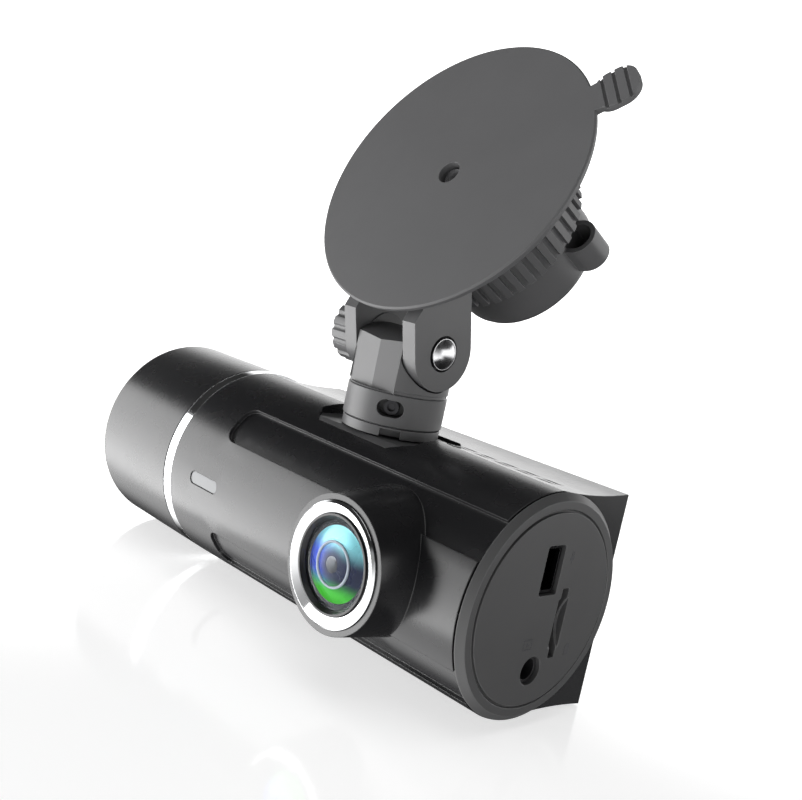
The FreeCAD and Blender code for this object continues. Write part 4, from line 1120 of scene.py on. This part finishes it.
@dataclass
class CabinBarrel:
    """Turning barrel with the cabin camera.

    Attributes:
        screw_circle: Radius of the circle of hub screws.
        screw_start: Angle of the first hub screw, in degrees.
        screws: Number of hub screws.
        screw_head: Radius of their heads.
        screw_height: Height of their heads.
        screw_shank: Radius of their shanks.
        screw_recess: Length of their cross recesses.
    """

    screw_circle: float = 15.2 * MM
    screw_start: float = 60.0
    screws: int = 3
    screw_head: float = 1.85 * MM
    screw_height: float = 0.9 * MM
    screw_shank: float = 0.8 * MM
    screw_recess: float = 2.0 * MM

    def build(self) -> None:
        """Dress the window, lens, hub and lamps."""
        PAINT.dress(Finish.DARK_WINDOW, "cabin_window")
        PAINT.dress(Finish.LENS_METAL, "cabin_lens")
        PAINT.dress(Finish.LENS_GLASS, "infrared_lamps")
        PAINT.dress(Finish.NYLON, "cabin_hub")
        PAINT.dress(Finish.STEEL, "pivot_clip")
        self.hub_screws()

    def hub_screws(self) -> None:
        """Grow the screws that hold the hub."""
        low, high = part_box("hub_screws")
        axis = middle("ring_trim")
        under = high[0] - self.screw_height
        places = []
        for step in range(self.screws):
            angle = math.radians(self.screw_start + step * 360 / self.screws)
            places.append(Vector((under, axis.y + self.screw_circle * math.cos(angle),
                                  axis.z + self.screw_circle * math.sin(angle))))
        recipe = ScrewRecipe(self.screw_head, self.screw_height, self.screw_shank, under - low[0],
                             self.screw_recess)
        piece = recipe.grow("hub_screws_cut", places, Vector((1, 0, 0)), PAINT.get(Finish.STEEL))
        finish_piece(piece, "cabin_barrel", Finish.STEEL, ["hub_screws"])


@dataclass
class SuctionMount:
    """Suction disc, base with its fork, lock, hinge and stem.

    Attributes:
        nut_lobes: Number of flutes round the hinge nut.
        nut_radius: The nut's radius over its ridges.
        nut_groove: Depth of a flute.
        nut_bore: Radius of the hole that takes the brass insert.
        nut_cap: Thickness left over the insert at the outer end.
        nut_edge: Height of the drawn-in outer edge as a share of the nut's thickness.
        nut_draw: How far that edge draws in, as a share of the radius kept.
    """

    nut_lobes: int = 15
    nut_radius: float = 6.1 * MM
    nut_groove: float = 0.42 * MM
    nut_bore: float = 3.2 * MM
    nut_cap: float = 1.0 * MM
    nut_edge: float = 0.12
    nut_draw: float = 0.9

    def build(self) -> None:
        """Dress the mount's pieces and grow the fluted nut."""
        PAINT.dress(Finish.CUP_RUBBER, "suction_disc")
        PAINT.dress(Finish.MOUNT_PLASTIC, "cup_base", "lock_knob", "stem", "foot")
        PAINT.dress(Finish.STEEL, "hinge_screw", "pull_post", "cross_pin", "foot_screw")
        # Painted shade: the set screw is darkened to stand for the shade in its hole.
        PAINT.dress(Finish.STEEL_DARKENED_AS_SHADE, "set_screw")
        PAINT.dress(Finish.NYLON, "hinge_washers")
        PAINT.dress(Finish.BRASS, "nut_insert")
        self.fluted_nut()

    def fluted_nut(self) -> None:
        """Grow the hinge nut: a round body whose rim waves, with a softened outer edge."""
        low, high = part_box("hinge_nut")
        centre = middle("hinge_nut")
        thickness = high[0] - low[0]
        tree = Growth("fluted_nut_growth")
        radius = tree.size("Radius", self.nut_radius)
        groove = tree.size("Groove", self.nut_groove)
        lobes = tree.size("Lobes", self.nut_lobes, "NodeSocketInt")
        depth = tree.size("Thickness", thickness)
        outline = tree.add("GeometryNodeCurvePrimitiveCircle", Resolution=self.nut_lobes * 12,
                           Radius=radius).outputs[0]
        disc = tree.add("GeometryNodeFillCurve", {"mode": "NGONS"}, Curve=outline).outputs[0]
        position = tree.add("GeometryNodeInputPosition").outputs[0]
        split = tree.add("ShaderNodeSeparateXYZ", Vector=position)
        angle = tree.math("ARCTAN2", split.outputs[1], split.outputs[0])
        wave = tree.math("MAXIMUM", tree.math("COSINE", tree.math("MULTIPLY", angle, lobes)), 0.0)
        dip = tree.math("MULTIPLY", tree.math("POWER", wave, 0.7), groove)
        share = tree.math("SUBTRACT", 1.0, tree.math("DIVIDE", dip, radius))
        shrunk = tree.add("ShaderNodeVectorMath", {"operation": "SCALE"}, Vector=position,
                          Scale=share).outputs[0]
        disc = tree.add("GeometryNodeSetPosition", Geometry=disc, Position=shrunk).outputs[0]
        edge = tree.math("MULTIPLY", depth, self.nut_edge)
        body = tree.add("GeometryNodeExtrudeMesh", Mesh=disc, Offset_Scale=tree.math("SUBTRACT", depth, edge))
        rim = tree.add("GeometryNodeExtrudeMesh", Mesh=body.outputs[0], Selection=body.outputs[1],
                       Offset_Scale=edge)
        soft = tree.add("GeometryNodeScaleElements", Geometry=rim.outputs[0], Selection=rim.outputs[1],
                        Scale=self.nut_draw)
        base = tree.add("GeometryNodeFlipFaces", Mesh=disc).outputs[0]
        closed = tree.joined([soft.outputs[0], base])
        merged = tree.add("GeometryNodeMergeByDistance", Geometry=closed, Distance=1e-6).outputs[0]
        bore = tree.add("GeometryNodeMeshCylinder", Vertices=48, Radius=self.nut_bore,
                        Depth=thickness * 2).outputs[0]
        hollow = tree.carved(merged, [tree.moved(bore, (0.0, 0.0, -self.nut_cap))])
        turn = towards(Vector((-1, 0, 0)), Vector((high[0], centre.y, centre.z)))
        piece = tree.grow("hinge_nut_fluted", hollow, PAINT.get(Finish.MOUNT_PLASTIC), turn)
        finish_piece(piece, "hinge_nut", Finish.MOUNT_PLASTIC, ["hinge_nut"])


# ----------------------------------------------------------------------------- studio
@dataclass
class Studio:
    """Pale floor, soft lights and the camera.

    Attributes:
        camera_place: Where the camera stands.
        heading: Turn of the view about Z, in degrees from +Y towards -X.
        pitch: Angle of the view below the horizon.
        roll: Lean of the camera about its view.
        lens_mm: Focal length.
        sensor_mm: Width of the camera's sensor.
        floor_half: Half the width of the floor.
        floor_gap: Clear height between the floor and the lowest point of the part.
        lights: Name, place, width, height and brightness of each soft light.
        band: Brightness of the bright band behind the part.
        front: Brightness of the low light in front of it.
        dim: Brightness everywhere else.
    """

    camera_place: tuple[float, float, float] = (0.12941, -0.12990, -0.01642)
    heading: float = 44.92
    pitch: float = -7.83
    roll: float = 11.80
    lens_mm: float = 45.47
    sensor_mm: float = 36.0
    floor_half: float = 6.0
    floor_gap: float = 0.2 * MM
    lights: tuple[tuple[str, tuple[float, float, float], float, float, float], ...] = (
        ("key_light", (-0.34, -0.29, -0.12), 0.40, 0.50, 4.4),
        ("top_light", (0.05, -0.10, 0.45), 0.5, 0.5, 1.2),
    )
    band: float = 1.9
    front: float = 1.9
    dim: float = 0.03

    def build(self) -> None:
        """Make the camera, floor, lights and background."""
        self.camera()
        self.floor()
        self.background()
        for name, place, width, height, radiance in self.lights:
            self.softbox(name, Vector(place), width, height, radiance)

    def camera(self) -> None:
        """Make the camera."""
        data = bpy.data.cameras.new("studio_camera")
        data.lens = self.lens_mm
        data.sensor_width = self.sensor_mm
        data.clip_start = 0.005
        data.clip_end = 20.0
        camera = bpy.data.objects.new("studio_camera", data)
        bpy.context.scene.collection.objects.link(camera)
        camera.location = self.camera_place
        turn = Euler((math.radians(90 + self.pitch), 0.0, math.radians(self.heading))).to_matrix()
        lean = Matrix.Rotation(math.radians(self.roll), 3, "Z")
        camera.rotation_euler = (turn @ lean).to_euler()
        bpy.context.scene.camera = camera

    def floor(self) -> None:
        """Make a wide pale floor under the object."""
        low, _ = CAD_BOX
        work = bmesh.new()
        bmesh.ops.create_grid(work, x_segments=8, y_segments=8, size=self.floor_half)
        mesh = bpy.data.meshes.new("studio_floor")
        work.to_mesh(mesh)
        work.free()
        mesh.transform(Matrix.Translation((0, 0, low.z - self.floor_gap)))
        material, graph, shader = new_material("floor_pale")
        place = graph.add("ShaderNodeTexCoord").outputs["Object"]
        cloud = graph.noise(place, 6.0, 3.0)
        graph.put(shader, "Base Color", rgba((0.86, 0.86, 0.86)))
        graph.put(shader, "Metallic", 0.12)
        graph.put(shader, "Roughness", graph.spread(cloud, 0.3, 0.7, 0.08, 0.11))
        graph.put(shader, "Emission Color", rgba((1.0, 1.0, 1.0)))
        graph.put(shader, "Emission Strength", 0.60)
        mesh.materials.append(material)
        floor = link_mesh("studio_floor", mesh)
        floor.visible_glossy = False
        floor.visible_diffuse = False
        floor.visible_shadow = False

    def background(self) -> None:
        """Make a plain surround: a bright band behind the part, a low glow in front, dim above."""
        world = bpy.data.worlds.new("studio_surround")
        bpy.context.scene.world = world
        world.use_nodes = True
        world.node_tree.nodes.clear()
        graph = Graph(world.node_tree)
        way = graph.add("ShaderNodeTexCoord").outputs["Generated"]
        split = graph.add("ShaderNodeSeparateXYZ", Vector=way)
        depth, height = split.outputs[1], split.outputs[2]
        above = graph.spread(height, 0.30, 0.44, 1.0, 0.0)
        below = graph.spread(height, -0.20, -0.04, 0.0, 1.0)
        level = graph.math("MULTIPLY", above, below)
        behind = graph.math("MULTIPLY", graph.spread(depth, -0.30, 0.05, 0.15, 1.0), level)
        under = graph.spread(height, -0.45, 0.22, 1.0, 0.0)
        low = graph.math("MULTIPLY", under, graph.spread(depth, -0.10, 0.30, 1.0, 0.0))
        strength = graph.math("ADD", graph.math("MULTIPLY", behind, self.band),
                              graph.math("MULTIPLY", low, self.front))
        strength = graph.math("ADD", strength, self.dim)
        light = graph.add("ShaderNodeBackground", Color=rgba((1, 1, 1)), Strength=strength)
        output = graph.add("ShaderNodeOutputWorld")
        world.node_tree.links.new(light.outputs[0], output.inputs[0])
        bpy.context.scene.view_settings.view_transform = "Standard"

    def softbox(self, name: str, place: Vector, width: float, height: float, radiance: float) -> None:
        """Hang a soft rectangular light that faces the camera barrel.

        Args:
            name: The light's name.
            place: Where it hangs.
            width: Its width.
            height: Its height.
            radiance: Brightness of its surface.
        """
        data = bpy.data.lights.new(name, "AREA")
        data.shape = "RECTANGLE"
        data.size = width
        data.size_y = height
        data.energy = radiance * math.pi * width * height
        light = bpy.data.objects.new(name, data)
        bpy.context.scene.collection.objects.link(light)
        light.location = place
        aim = middle("front_shell") - place
        light.rotation_euler = aim.to_track_quat("-Z", "Y").to_euler()
        light.visible_camera = False


def main() -> None:
    """Build the looks of every sub-assembly in order."""
    logging.basicConfig(level=logging.INFO, format="%(name)s: %(message)s")
    for assembly in (Studio(), Housing(), FrontLens(), Electronics(), CabinBarrel(), SuctionMount()):
        LOG.info("building %s", type(assembly).__name__)
        assembly.build()


if __name__ == "__main__":
    main()
